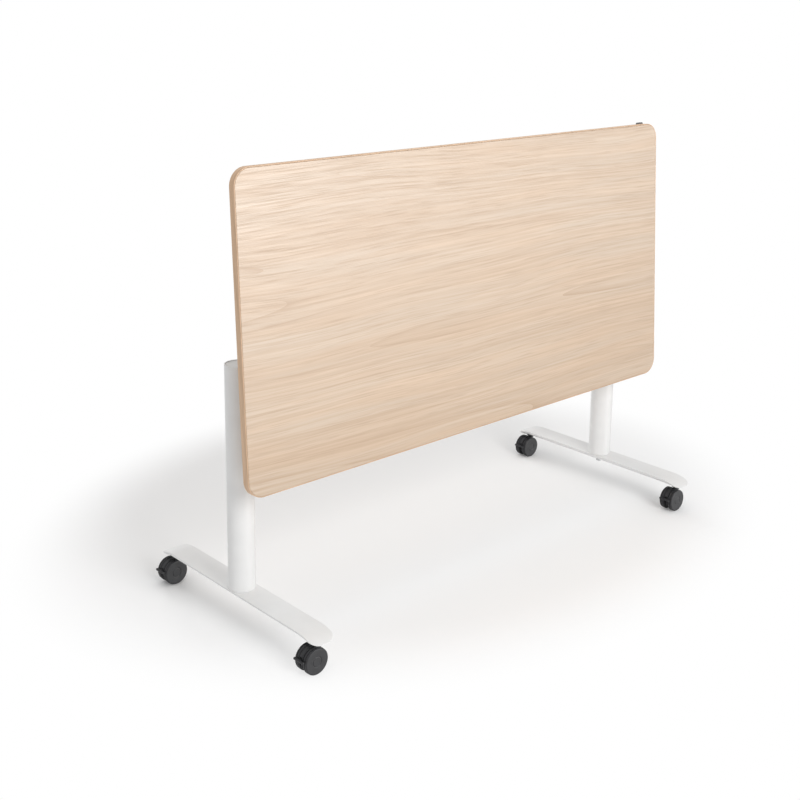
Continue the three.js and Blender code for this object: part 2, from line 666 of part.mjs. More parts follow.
function casterAxleGeometry() {
  const half = wheelInside + WHEEL_BORE_DEPTH - SEAT_GAP;
  return turnedAlongY(rodProfile(AXLE_DIAMETER / 2, -half, half)).translate(-CASTER_TRAIL, 0, wheelRadius);
}

// A wheel closes over the axle's end, with a raised rim and a sunk face
function wheelGeometry(outward) {
  const bore = AXLE_DIAMETER / 2 + RUNNING_GAP;
  const face = WHEEL_WIDTH - WHEEL_FACE_RECESS;
  const rim = wheelRadius - WHEEL_EDGE_RADIUS;
  const rimInside = rim - WHEEL_RIM_WIDTH;
  const wheel = turnedAlongY([
    [0, WHEEL_BORE_DEPTH], [bore, WHEEL_BORE_DEPTH], [bore, 0], [wheelRadius, 0],
    [wheelRadius, WHEEL_WIDTH - WHEEL_EDGE_RADIUS], [rim, WHEEL_WIDTH],
    [rimInside, WHEEL_WIDTH], [rimInside - 1, face], [0, face],
  ], WHEEL_SEGMENTS).translate(0, wheelInside, 0);
  if (outward < 0) {
    wheel.rotateX(Math.PI);
  }
  return wheel.translate(-CASTER_TRAIL, 0, wheelRadius);
}

// Brake lever: an arm in the hood's slot with a bar across it just clear of the wheels
function brakeLeverGeometry() {
  const barX = -CASTER_TRAIL - wheelRadius - BRAKE_BAR_BEYOND_WHEEL;
  const barZ = wheelRadius + BRAKE_BAR_ABOVE_AXLE;
  const barRadius = BRAKE_BAR_DIAMETER / 2;
  const half = BRAKE_PLATE / 2;
  const arm = plateAlongY(discHull([[...brakePivot, BRAKE_BOSS_RADIUS], [barX, barZ, barRadius - 0.3]]), -half, half);
  const barHalf = BRAKE_BAR_LENGTH / 2;
  const bar = turnedAlongY([
    [0, -barHalf], [barRadius - 1, -barHalf], [barRadius, 1 - barHalf],
    [barRadius, barHalf - 1], [barRadius - 1, barHalf], [0, barHalf],
  ]).translate(barX, 0, barZ);
  const pivotHalf = HOOD_PLATE / 2 - SEAT_GAP;
  const pivot = turnedAlongY(rodProfile(BRAKE_PIVOT_DIAMETER / 2, -pivotHalf, pivotHalf));
  return join(arm, bar, pivot.translate(brakePivot[0], 0, brakePivot[1]));
}

// Assembly
const table = new THREE.Group();

// The top group turns about the pivot axis; its pieces are drawn as they lie when the top is level
const top = new THREE.Group();
top.position.set(0, -PIVOT_FORWARD, pivotHeight);
top.rotation.x = flip;
table.add(top);

addPiece(table, 'crossbeam', crossbeamGeometry(), 'whitePaint');

for (const [name, side] of [['left', -1], ['right', 1]]) {
  const leg = new THREE.Group();
  leg.position.x = side * columnX;
  table.add(leg);
  addPiece(leg, `foot_${name}`, footGeometry(), 'whitePaint');
  addPiece(leg, `column_${name}`, columnGeometry(), 'whitePaint');
  addPiece(leg, `column_cap_${name}`, columnCapGeometry(), 'whitePlastic');
  addPiece(leg, `column_plug_${name}`, columnPlugGeometry(), 'steel');
  addPiece(leg, `column_bolt_${name}`, columnBoltGeometry(), 'steel');

  const hinge = new THREE.Group();
  hinge.position.set(side * hingeX, -PIVOT_FORWARD, pivotHeight);
  table.add(hinge);
  addPiece(hinge, `hinge_bracket_${name}`, hingeBracketGeometry(), 'darkSteel');
  addPiece(hinge, `pivot_pin_${name}`, pivotPinGeometry(), 'steel');
  const lock = new THREE.Group();
  lock.position.set(0, lockPin.x, lockPin.y);
  hinge.add(lock);
  const pin = addPiece(lock, `lock_pin_${name}`, lockPinGeometry(), 'steel');
  pin.rotation.z = side > 0 ? 0 : Math.PI;
  addPiece(lock, `lock_sleeve_${name}`, lockSleeveGeometry(), 'rubber');
  const stop = addPiece(hinge, `flip_stop_${name}`, flipStopGeometry(), 'rubber');
  stop.position.set(0, flipStop.x, flipStop.y);

  const arm = addPiece(top, `hinge_arm_${name}`, hingeArmGeometry(), 'darkSteel');
  arm.position.x = side * hingeX;
  const bush = addPiece(top, `pivot_bush_${name}`, pivotBushGeometry(), 'charcoal');
  bush.position.x = side * hingeX;
}

const bandInside = [TOP_LENGTH, TOP_DEPTH, TOP_CORNER_RADIUS].map(
  (size, index) => size - EDGE_BAND_THICKNESS * (index < 2 ? 2 : 1),
);
const boardOutline = [TOP_LENGTH, TOP_DEPTH, TOP_CORNER_RADIUS].map(
  (size, index) => size - (EDGE_BAND_THICKNESS + SEAT_GAP) * (index < 2 ? 2 : 1),
);
const bandOutline = roundedRectangle(TOP_LENGTH, TOP_DEPTH, TOP_CORNER_RADIUS);
bandOutline.holes.push(roundedRectangle(...bandInside));
const boardTop = PIVOT_DROP + BOARD_THICKNESS;
const board = addPiece(
  top,
  'tabletop_board',
  plateAlongZ(roundedRectangle(...boardOutline), PIVOT_DROP, boardTop),
  'oak',
);
board.position.y = PIVOT_FORWARD;
const band = addPiece(top, 'edge_band', plateAlongZ(bandOutline, PIVOT_DROP, boardTop), 'oakEdge');
band.position.y = PIVOT_FORWARD;

const linkTop = PIVOT_DROP - SEAT_GAP;
const link = addPiece(
  top,
  'link_plate',
  plateAlongZ(roundedRectangle(LINK_PLATE_WIDTH, LINK_PLATE_LENGTH, 4), linkTop - LINK_PLATE_THICKNESS, linkTop, 3),
  'darkSteel',
);
link.position.x = TOP_LENGTH / 2 - LINK_PLATE_FROM_END;
link.position.y = PIVOT_FORWARD + TOP_DEPTH / 2 + LINK_PLATE_OVERHANG - LINK_PLATE_LENGTH / 2;

// The release shaft and everything on it
const release = new THREE.Group();
release.position.set(0, releaseShaft.x, releaseShaft.y);
top.add(release);
const shaftHalf = hingeX + ARM_PLATE / 2 + RELEASE_SHAFT_OVERRUN;
const shaftRod = turnedAlongX(rodProfile(RELEASE_SHAFT_DIAMETER / 2, -shaftHalf, shaftHalf));
addPiece(release, 'release_shaft', shaftRod, 'steel');
addPiece(release, 'release_handle', releaseHandleGeometry(), 'charcoal');
for (const [name, side] of [['left', -1], ['right', 1]]) {
  const hook = addPiece(release, `latch_hook_${name}`, latchHookGeometry(), 'steel');
  hook.position.x = side * hookX;
  addPiece(release, `release_spring_${name}`, releaseSpringGeometry(side), 'steel');
}

// Four casters, all trailing the same way
for (const [endName, endSide] of [['front', -1], ['rear', 1]]) {
  for (const [sideName, side] of [['left', -1], ['right', 1]]) {
    const caster = new THREE.Group();
    caster.position.set(side * columnX, endSide * casterY, 0);
    table.add(caster);
    const name = `caster_${endName}_${sideName}`;
    addPiece(caster, `${name}_stem`, casterStemGeometry(), 'steel');
    addPiece(caster, `${name}_hood`, casterHoodGeometry(), 'charcoal');
    addPiece(caster, `${name}_axle`, casterAxleGeometry(), 'steel');
    addPiece(caster, `${name}_wheel_outer`, wheelGeometry(endSide), 'charcoal');
    addPiece(caster, `${name}_wheel_inner`, wheelGeometry(-endSide), 'charcoal');
    addPiece(caster, `${name}_brake`, brakeLeverGeometry(), 'charcoal');
  }
}

export default table;
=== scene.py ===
# A flip top training table with its top tipped up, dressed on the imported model.
# Metres, +Z up; the origin is on the floor midway between the columns, and the working face looks toward -Y.
import math

import bmesh
import bpy
from mathutils import Matrix, Vector
from mathutils.geometry import tessellate_polygon


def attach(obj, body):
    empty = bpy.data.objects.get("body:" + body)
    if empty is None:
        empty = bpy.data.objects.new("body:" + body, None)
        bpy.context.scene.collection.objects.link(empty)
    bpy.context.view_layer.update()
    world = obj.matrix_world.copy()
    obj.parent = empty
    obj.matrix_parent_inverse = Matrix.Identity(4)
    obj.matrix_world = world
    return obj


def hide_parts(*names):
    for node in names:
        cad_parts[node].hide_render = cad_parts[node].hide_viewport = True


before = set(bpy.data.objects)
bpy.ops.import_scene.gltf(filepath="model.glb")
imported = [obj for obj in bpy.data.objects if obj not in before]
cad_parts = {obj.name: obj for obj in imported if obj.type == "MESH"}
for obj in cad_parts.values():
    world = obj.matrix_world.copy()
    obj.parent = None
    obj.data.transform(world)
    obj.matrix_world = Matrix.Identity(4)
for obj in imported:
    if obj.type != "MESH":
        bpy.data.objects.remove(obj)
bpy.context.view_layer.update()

# Feet: a long flat casting under each column, powder coated white. Its rounded tips turn down over the
# casters, and its sides are drawn in below a thin edge. One bolt from below holds it to its column.
MM = 0.001
SIDES = {"left": -1, "right": 1}
COLUMN_X = 632
FOOT_HALF_LENGTH = 297
FOOT_HALF_WIDTH = 31.5
FOOT_TIP_RADIUS = 24
FOOT_TOP = 84.6
FOOT_DROOP = 14
FOOT_DROOP_START = 240
FOOT_EDGE = 4.5
FOOT_EDGE_AT_TIP = 1.4
FOOT_UNDERSIDE = 67.6
FOOT_DRAFT = 1.42
FOOT_SHELF = 8
FOOT_ROUNDING = (0.7, 0.5, 4.0)


def add_node(tree, kind, inputs=None, **settings):
    """Adds a node, sets its properties, and links or sets its inputs."""
    node = tree.nodes.new(kind)
    for key, value in settings.items():
        setattr(node, key, value)
    for key, value in (inputs or {}).items():
        if isinstance(value, bpy.types.NodeSocket):
            tree.links.new(value, node.inputs[key])
        else:
            node.inputs[key].default_value = value
    return node


def math_node(tree, operation, first, second=0.5):
    return add_node(tree, "ShaderNodeMath", {0: first, 1: second}, operation=operation).outputs[0]


def new_material(name):
    """A material with only its Principled shader; returns the material, its tree and the shader."""
    material = bpy.data.materials.new(name)
    material.use_nodes = True
    tree = material.node_tree
    return material, tree, tree.nodes["Principled BSDF"]


def surface_mottle_group():
    """Slow changes of tone and a fine skin texture, the same on every side of a piece."""
    group = bpy.data.node_groups.new("surface_mottle", "ShaderNodeTree")
    for name in ("Patch Scale", "Skin Scale"):
        group.interface.new_socket(name, in_out="INPUT", socket_type="NodeSocketFloat")
    for name in ("Mottle", "Skin"):
        group.interface.new_socket(name, in_out="OUTPUT", socket_type="NodeSocketFloat")
    sizes = group.nodes.new("NodeGroupInput")
    place = add_node(group, "ShaderNodeTexCoord").outputs["Object"]
    patches = add_node(group, "ShaderNodeTexNoise", {
        "Vector": place, "Scale": sizes.outputs["Patch Scale"], "Detail": 4.0, "Roughness": 0.6,
    })
    skin = add_node(group, "ShaderNodeTexNoise", {
        "Vector": place, "Scale": sizes.outputs["Skin Scale"], "Detail": 2.0, "Roughness": 0.5,
    })
    add_node(group, "NodeGroupOutput", {"Mottle": patches.outputs["Fac"], "Skin": skin.outputs["Fac"]})
    return group


SURFACE_MOTTLE = surface_mottle_group()


def moulded_finish(name, dark, pale, roughness, patch_scale, skin_scale, skin_depth, **sockets):
    """A coated, moulded or cast finish: two close tones in patches under a fine textured skin."""
    material, tree, shader = new_material(name)
    mottle = add_node(tree, "ShaderNodeGroup", node_tree=SURFACE_MOTTLE)
    mottle.inputs["Patch Scale"].default_value = patch_scale
    mottle.inputs["Skin Scale"].default_value = skin_scale
    tone = add_node(tree, "ShaderNodeMapRange", {
        "Value": mottle.outputs["Mottle"], "From Min": 0.3, "From Max": 0.7,
    })
    colour = add_node(tree, "ShaderNodeMix", {
        "Factor": tone.outputs["Result"], "A": (*dark, 1), "B": (*pale, 1),
    }, data_type="RGBA")
    tree.links.new(colour.outputs["Result"], shader.inputs["Base Color"])
    gloss = add_node(tree, "ShaderNodeMapRange", {
        "Value": mottle.outputs["Skin"], "From Min": 0.3, "From Max": 0.7,
        "To Min": roughness[0], "To Max": roughness[1],
    })
    tree.links.new(gloss.outputs["Result"], shader.inputs["Roughness"])
    relief = add_node(tree, "ShaderNodeBump", {
        "Height": mottle.outputs["Skin"], "Strength": 0.6, "Distance": skin_depth,
    })
    tree.links.new(relief.outputs["Normal"], shader.inputs["Normal"])
    for socket, value in sockets.items():
        shader.inputs[socket.replace("_", " ")].default_value = value
    return material


def shell(points, faces):
    """A closed mesh from points in millimetres, with its faces turned outwards."""
    mesh = bpy.data.meshes.new("shell")
    mesh.from_pydata([Vector(point) * MM for point in points], [], faces)
    work = bmesh.new()
    work.from_mesh(mesh)
    bmesh.ops.remove_doubles(work, verts=work.verts, dist=1e-7)
    bmesh.ops.recalc_face_normals(work, faces=work.faces)
    work.to_mesh(mesh)
    work.free()
    return mesh


def add_piece(name, mesh, material, body, slot, *nodes):
    """Puts a finished mesh in the scene: it moves with a body and stands for the named CAD nodes."""
    mesh.name = name
    mesh.materials.clear()
    mesh.materials.append(material)
    mesh.polygons.foreach_set("use_smooth", [True] * len(mesh.polygons))
    mesh.set_sharp_from_angle(angle=math.radians(48))
    piece = bpy.data.objects.new(name, mesh)
    bpy.context.scene.collection.objects.link(piece)
    weighted = piece.modifiers.new("flat_faces_stay_flat", "WEIGHTED_NORMAL")
    weighted.keep_sharp = True
    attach(piece, body)
    if nodes:
        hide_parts(*nodes)
    return piece


def eased(points, radii, closed=False, steps=4):
    """The same line of flat points with its corners rounded off, one radius for all or one for each."""
    count = len(points)
    corners = range(count) if closed else range(1, count - 1)
    if not hasattr(radii, "__len__"):
        radii = [radii] * len(corners)
    rounded = [] if closed else [Vector(points[0])]
    for corner, radius in zip(corners, radii):
        here = Vector(points[corner])
        before = Vector(points[corner - 1]) - here
        after = Vector(points[(corner + 1) % count]) - here
        reach = min(radius, 0.45 * before.length, 0.45 * after.length)
        start = here + before.normalized() * reach
        end = here + after.normalized() * reach
        for step in range(steps + 1):
            t = step / steps
            rounded.append(start * (1 - t) ** 2 + here * 2 * t * (1 - t) + end * t * t)
    if not closed:
        rounded.append(Vector(points[-1]))
    return rounded


def foot_bend(y):
    """How far the tip has turned down, from 0 to 1."""
    return (max(0, abs(y) - FOOT_DROOP_START) / (FOOT_HALF_LENGTH - FOOT_DROOP_START)) ** 2


def foot_top(y):
    return FOOT_TOP - FOOT_DROOP * foot_bend(y)


def foot_outline():
    """Half of the foot's plan from tip to tip, as (x, y, outward x, outward y)."""
    straight = FOOT_HALF_LENGTH - FOOT_TIP_RADIUS
    inset = FOOT_HALF_WIDTH - FOOT_TIP_RADIUS
    turns = [math.radians(9 * step) for step in range(11)]
    tip = [(inset + FOOT_TIP_RADIUS * math.cos(a), straight + FOOT_TIP_RADIUS * math.sin(a),
            math.cos(a), math.sin(a)) for a in turns]
    run = [(FOOT_HALF_WIDTH, straight * step / 31, 1, 0) for step in range(-30, 31)]
    back = [(x, -y, out_x, -out_y) for x, y, out_x, out_y in reversed(tip)]
    return back + run + tip


def foot_mesh(centre_x):
    """Ribs of rounded section across the foot, joined from tip to tip."""
    points, ribs = [], []
    for x, y, out_x, out_y in foot_outline():
        top = foot_top(y)
        edge_bottom = top - FOOT_EDGE + (FOOT_EDGE - FOOT_EDGE_AT_TIP) * foot_bend(y)
        drawn_in = FOOT_DRAFT * (edge_bottom - FOOT_UNDERSIDE)
        section = eased([
            (FOOT_SHELF, foot_top(y - FOOT_SHELF * out_y)), (0, top), (0, edge_bottom),
            (drawn_in, FOOT_UNDERSIDE), (drawn_in + FOOT_SHELF, FOOT_UNDERSIDE),
        ], FOOT_ROUNDING)
        for side in (1, -1):
            first = len(points)
            points += [(centre_x + side * (x - inset * out_x), y - inset * out_y, z) for inset, z in section]
            ribs.append(list(range(first, len(points))))
    faces = []
    last = len(ribs[0]) - 1
    for rib in range(0, len(ribs) - 2, 2):
        right, left, next_right, next_left = ribs[rib:rib + 4]
        for a, b in ((right, next_right), (left, next_left)):
            faces += [(a[k], a[k + 1], b[k + 1], b[k]) for k in range(last)]
        faces.append((right[0], next_right[0], next_left[0], left[0]))
        faces.append((right[last], next_right[last], next_left[last], left[last]))
    for right, left in (ribs[:2], ribs[-2:]):
        faces += [(right[k], right[k + 1], left[k + 1], left[k]) for k in range(last)]
    return shell(points, faces)


WHITE_COAT = moulded_finish(
    "white_powder_coat", dark=(0.80, 0.80, 0.795), pale=(0.86, 0.86, 0.855), roughness=(0.34, 0.46),
    patch_scale=6, skin_scale=700, skin_depth=0.0001,
)
for side_name, side in SIDES.items():
    add_piece(f"{side_name}_foot", foot_mesh(side * COLUMN_X), WHITE_COAT, "base_frame",
              "white_powder_coat", f"foot_{side_name}")

# Columns: round steel tubes, powder coated with the feet. A white plastic cap closes the top,
# and a steel plug pressed into the lower end takes the socket head bolt that comes up through the foot.
COLUMN_RADIUS = 31
COLUMN_WALL = 2.5
COLUMN_BOTTOM = 84.65
COLUMN_TOP = 606
CAP_RADIUS = 28.2
CAP_TOP = 605.2
CAP_UNDER = 602.2
CAP_SKIRT_INSIDE = 26.2
CAP_SKIRT_END = 591.2
PLUG_BORE = 5.3
PLUG_BOTTOM = 84.9
PLUG_TOP = 98.9
BOLT_HEAD_RADIUS = 8
BOLT_HEAD_BOTTOM = 59.3
BOLT_HEAD_TOP = 67.3
BOLT_SHANK_RADIUS = 5
BOLT_KEY_HALF = 4
BOLT_KEY_DEPTH = 4.5
ALONG_X = Matrix(((0, 0, 1, 0), (1, 0, 0, 0), (0, 1, 0, 0), (0, 0, 0, 1)))
ALONG_Y = Matrix(((0, 1, 0, 0), (0, 0, 1, 0), (1, 0, 0, 0), (0, 0, 0, 1)))


def turned(profile, segments=64, hex_from=None):
    """A piece turned about Z from (radius, height) points; a profile that starts off the axis is a sleeve.
    From point hex_from on, the radius is half the width across a hexagon's flats."""
    points, rings = [], []
    for number, (radius, height) in enumerate(profile):
        if radius == 0:
            rings.append([len(points)] * segments)
            points.append((0, 0, height))
            continue
        rings.append(list(range(len(points), len(points) + segments)))
        for step in range(segments):
            angle = 2 * math.pi * step / segments
            reach = radius
            if hex_from is not None and number >= hex_from:
                reach = radius / math.cos((angle % (math.pi / 3)) - math.pi / 6)
            points.append((reach * math.cos(angle), reach * math.sin(angle), height))
    if profile[0][0] > 0:
        rings.append(rings[0])
    faces = []
    for low, high in zip(rings, rings[1:]):
        for step in range(segments):
            after = (step + 1) % segments
            corners = [low[step], low[after], high[after], high[step]]
            faces.append([c for k, c in enumerate(corners) if c != corners[k - 1]])
    return shell(points, [face for face in faces if len(face) > 2])


def placed(mesh, matrix=None, at=(0, 0, 0)):
    """Turns a mesh by a matrix and then moves it, in millimetres."""
    mesh.transform(Matrix.Translation(Vector(at) * MM) @ (matrix or Matrix.Identity(4)))
    if matrix is not None and matrix.determinant() < 0:
        mesh.flip_normals()
    return mesh


def steel_finish(name, dark, pale, roughness, patch_scale, skin_scale, skin_depth):
    return moulded_finish(name, dark, pale, roughness, patch_scale, skin_scale, skin_depth, Metallic=1.0)


WHITE_CAP = moulded_finish(
    "white_cap_plastic", dark=(0.76, 0.76, 0.75), pale=(0.82, 0.82, 0.81), roughness=(0.42, 0.56),
    patch_scale=30, skin_scale=1800, skin_depth=0.00006,
)
ZINC = steel_finish(
    "zinc_plated_steel", dark=(0.50, 0.51, 0.53), pale=(0.66, 0.67, 0.68), roughness=(0.26, 0.42),
    patch_scale=140, skin_scale=2600, skin_depth=0.00003,
)
for side_name, side in SIDES.items():
    here = (side * COLUMN_X, 0, 0)
    tube = turned(eased([
        (COLUMN_RADIUS - COLUMN_WALL, 0.5 * COLUMN_TOP), (COLUMN_RADIUS - COLUMN_WALL, COLUMN_BOTTOM),
        (COLUMN_RADIUS, COLUMN_BOTTOM), (COLUMN_RADIUS, COLUMN_TOP), (COLUMN_RADIUS - COLUMN_WALL, COLUMN_TOP),
    ], 0.8, closed=True), segments=96)
    add_piece(f"{side_name}_column", placed(tube, at=here), WHITE_COAT, "base_frame",
              "white_powder_coat", f"column_{side_name}")
    cap = turned(eased([
        (0, CAP_UNDER), (CAP_SKIRT_INSIDE, CAP_UNDER), (CAP_SKIRT_INSIDE, CAP_SKIRT_END),
        (CAP_RADIUS, CAP_SKIRT_END), (CAP_RADIUS, CAP_TOP - 1), (CAP_RADIUS - 2, CAP_TOP),
        (CAP_RADIUS - 5, CAP_TOP), (CAP_RADIUS - 6, CAP_TOP - 0.5), (0, CAP_TOP - 0.3),
    ], 0.7), segments=96)
    add_piece(f"{side_name}_column_cap", placed(cap, at=here), WHITE_CAP, "base_frame",
              "white_cap", f"column_cap_{side_name}")
    plug = turned(eased([
        (PLUG_BORE, PLUG_BOTTOM), (CAP_RADIUS, PLUG_BOTTOM), (CAP_RADIUS, PLUG_TOP), (PLUG_BORE, PLUG_TOP),
    ], 0.8, closed=True), segments=96)
    add_piece(f"{side_name}_column_plug", placed(plug, at=here), ZINC, "base_frame",
              "zinc_steel", f"column_plug_{side_name}")
    outside = eased([
        (0, PLUG_TOP), (BOLT_SHANK_RADIUS, PLUG_TOP), (BOLT_SHANK_RADIUS, BOLT_HEAD_TOP),
        (BOLT_HEAD_RADIUS, BOLT_HEAD_TOP), (BOLT_HEAD_RADIUS, BOLT_HEAD_BOTTOM), (BOLT_KEY_HALF, BOLT_HEAD_BOTTOM),
    ], 0.8)
    key_floor = BOLT_HEAD_BOTTOM + BOLT_KEY_DEPTH
    bolt = turned(
        [*outside, (BOLT_KEY_HALF, key_floor), (0, key_floor)], segments=48, hex_from=len(outside) - 1,
    )
    add_piece(f"{side_name}_column_bolt", placed(bolt, at=here), ZINC, "base_frame",
              "zinc_steel", f"column_bolt_{side_name}")

# Crossbeam: a rectangular steel tube with rounded corners between the columns, coated with them.
# Its ends are scooped to the round of the columns and welded all the way round.
BEAM_DEPTH = 30
BEAM_HEIGHT = 60
BEAM_WALL = 2
BEAM_CORNER = 4
BEAM_MIDDLE = 566
BEAM_SCOOP = 31.3
WELD_RADIUS = 2.4
WELD_RIPPLE = 0.35
WELD_RIPPLES = 44


def rounded_rectangle(width, height, radius, steps=8):
    """Points anticlockwise round a rectangle with round corners."""
    points = []
    for corner, (x, y) in enumerate(((1, 1), (-1, 1), (-1, -1), (1, -1))):
        for step in range(steps + 1):
            angle = math.pi / 2 * (corner + step / steps)
            points.append(Vector((
                x * (width / 2 - radius) + radius * math.cos(angle),
                y * (height / 2 - radius) + radius * math.sin(angle),
            )))
    return points


def scooped_end(y):
    return COLUMN_X - math.sqrt(BEAM_SCOOP ** 2 - y ** 2)


def beam_mesh():
    outside = rounded_rectangle(BEAM_DEPTH, BEAM_HEIGHT, BEAM_CORNER)
    inside = rounded_rectangle(BEAM_DEPTH - 2 * BEAM_WALL, BEAM_HEIGHT - 2 * BEAM_WALL, BEAM_CORNER - BEAM_WALL)
    points = []
    for line, end in ((outside, -1), (outside, 1), (inside, 1), (inside, -1)):
        points += [(end * scooped_end(y), y, BEAM_MIDDLE + z) for y, z in line]
    count = len(outside)
    faces = []
    for lap in range(4):
        for step in range(count):
            a, b = lap * count + step, lap * count + (step + 1) % count
            faces.append((a, b, (b + count) % (4 * count), (a + count) % (4 * count)))
    return shell(points, faces)


def round_wire_tree():
    """A round wire or bead swept along a line of edges; ripples swell it at even steps."""
    tree = bpy.data.node_groups.new("round_wire", "GeometryNodeTree")
    tree.interface.new_socket("Path", in_out="INPUT", socket_type="NodeSocketGeometry")
    for name, kind in (("Wire Radius", "Float"), ("Wire Sides", "Int"), ("Ripples", "Float"),
                       ("Ripple Share", "Float"), ("Wire Finish", "Material")):
        tree.interface.new_socket(name, in_out="INPUT", socket_type=f"NodeSocket{kind}")
    tree.interface.new_socket("Wire", in_out="OUTPUT", socket_type="NodeSocketGeometry")
    sizes = tree.nodes.new("NodeGroupInput").outputs
    path = add_node(tree, "GeometryNodeMeshToCurve", {"Mesh": sizes["Path"]})
    share = add_node(tree, "GeometryNodeSplineParameter").outputs["Factor"]
    turns = math_node(tree, "MULTIPLY", math_node(tree, "MULTIPLY", share, sizes["Ripples"]), 2 * math.pi)
    swell = math_node(tree, "MULTIPLY", math_node(tree, "SINE", turns), sizes["Ripple Share"])
    thickness = add_node(tree, "GeometryNodeSetCurveRadius", {
        "Curve": path.outputs["Curve"], "Radius": math_node(tree, "ADD", swell, 1.0),
    })
    section = add_node(tree, "GeometryNodeCurvePrimitiveCircle", {
        "Resolution": sizes["Wire Sides"], "Radius": sizes["Wire Radius"],
    })
    wire = add_node(tree, "GeometryNodeCurveToMesh", {
        "Curve": thickness.outputs["Curve"], "Profile Curve": section.outputs["Curve"], "Fill Caps": True,
    })
    if "Scale" in wire.inputs:
        tree.links.new(add_node(tree, "GeometryNodeInputRadius").outputs["Radius"], wire.inputs["Scale"])
    real = add_node(tree, "GeometryNodeRealizeInstances", {"Geometry": wire.outputs["Mesh"]})
    finish = add_node(tree, "GeometryNodeSetMaterial", {
        "Geometry": real.outputs["Geometry"], "Material": sizes["Wire Finish"],
    })
    add_node(tree, "NodeGroupOutput", {"Wire": finish.outputs["Geometry"]})
    return tree


def grown(tree, values, start=None):
    """Runs a tree on a start mesh with the named values, and returns the result as a plain mesh."""
    holder = bpy.data.objects.new(tree.name, start or bpy.data.meshes.new(tree.name))
    bpy.context.scene.collection.objects.link(holder)
    modifier = holder.modifiers.new(tree.name, "NODES")
    modifier.node_group = tree
    for socket in tree.interface.items_tree:
        if socket.in_out == "INPUT" and socket.name in values:
            modifier[socket.identifier] = values[socket.name]
    evaluated = holder.evaluated_get(bpy.context.evaluated_depsgraph_get())
    mesh = bpy.data.meshes.new_from_object(evaluated)
    holder.modifiers.remove(modifier)
    bpy.data.objects.remove(holder)
    work = bmesh.new()
    work.from_mesh(mesh)
    bmesh.ops.remove_doubles(work, verts=work.verts, dist=1e-7)
    bmesh.ops.recalc_face_normals(work, faces=work.faces)
    work.to_mesh(mesh)
    work.free()
    return mesh


def path_mesh(points, closed=False):
    """A line of edges through points in millimetres, for a wire to follow."""
    mesh = bpy.data.meshes.new("path")
    edges = [(step, step + 1) for step in range(len(points) - 1)]
    if closed:
        edges.append((len(points) - 1, 0))
    mesh.from_pydata([Vector(point) * MM for point in points], edges, [])
    return mesh


def evenly_spaced(points, count):
    """The same closed line of points at even steps along its length."""
    loop = [*points, points[0]]
    lengths = [0]
    for a, b in zip(loop, loop[1:]):
        lengths.append(lengths[-1] + (b - a).length)
    spaced, leg = [], 0
    for step in range(count):
        distance = lengths[-1] * step / count
        while lengths[leg + 1] <= distance:
            leg += 1
        share = (distance - lengths[leg]) / (lengths[leg + 1] - lengths[leg])
        spaced.append(loop[leg].lerp(loop[leg + 1], share))
    return spaced


def joined(*meshes):
    """Several closed meshes as one."""
    work = bmesh.new()
    for mesh in meshes:
        work.from_mesh(mesh)
    both = bpy.data.meshes.new("joined")
    work.to_mesh(both)
    work.free()
    return both


ROUND_WIRE = round_wire_tree()
add_piece("beam_tube", beam_mesh(), WHITE_COAT, "base_frame", "white_powder_coat", "crossbeam")
weld_line = evenly_spaced(rounded_rectangle(BEAM_DEPTH, BEAM_HEIGHT, BEAM_CORNER), 8 * WELD_RIPPLES)
for side_name, side in SIDES.items():
    seam = [(side * scooped_end(y), y, BEAM_MIDDLE + z) for y, z in weld_line]
    bead = grown(ROUND_WIRE, {
        "Wire Radius": WELD_RADIUS * MM, "Wire Sides": 10, "Ripples": float(WELD_RIPPLES),
        "Ripple Share": WELD_RIPPLE / WELD_RADIUS, "Wire Finish": WHITE_COAT,
    }, path_mesh(seam, closed=True))
    add_piece(f"{side_name}_beam_weld", bead, WHITE_COAT, "base_frame", "white_powder_coat")

# Hinge brackets: two pressed steel cheeks on a base plate, coated dark and welded on top of the beam.
# They carry the riveted pivot pin, the lock pin in its rubber sleeve, and the rubber flip stop.
HINGE_X = 560
PIVOT = (-32, 661)
LOCK_PIN = (80.573, 9.438)
FLIP_STOP = (-3.218, -40.532)
BASE_NEAR = (19, -62.7)
BASE_FAR = (45, -62.7)
BASE_BOTTOM = -64.7
BASE_THICKNESS = 5
CHEEK_INSIDE = 9
CHEEK_THICKNESS = 5
CHEEK_PIVOT_RADIUS = 17
CHEEK_PIN_RADIUS = 14
CHEEK_FOOT_RADIUS = 2
PIVOT_RADIUS = 6
PIVOT_HEAD_RADIUS = 10
PIVOT_HEAD = (14.3, 18.3)
PIN_RADIUS = 5
PIN_CLEARANCE = 0.3
LOCK_PIN_END = -28
LOCK_PIN_HEAD = (14.3, 17.3)
LOCK_PIN_HEAD_RADIUS = 7.5
SLEEVE_RADIUS = 8
SLEEVE_HALF = 8.7
STOP_END = 14


def band_round(discs, steps=60):
    """The outline of a band stretched round discs given as (x, y, radius)."""
    points = sorted({
        (round(x + radius * math.cos(2 * math.pi * step / steps), 5),
         round(y + radius * math.sin(2 * math.pi * step / steps), 5))
        for x, y, radius in discs for step in range(steps)
    })

    def half_hull(ordered):
        chain = []
        for point in ordered:
            while len(chain) > 1:
                (ax, ay), (bx, by) = chain[-2:]
                if (bx - ax) * (point[1] - by) - (by - ay) * (point[0] - bx) > 1e-6:
                    break
                chain.pop()
            chain.append(point)
        return chain[:-1]

    return [Vector(point) for point in half_hull(points) + half_hull(points[::-1])]


def circle(x, y, radius, steps=36):
    return [Vector((x + radius * math.cos(2 * math.pi * step / steps),
                    y + radius * math.sin(2 * math.pi * step / steps))) for step in range(steps)]


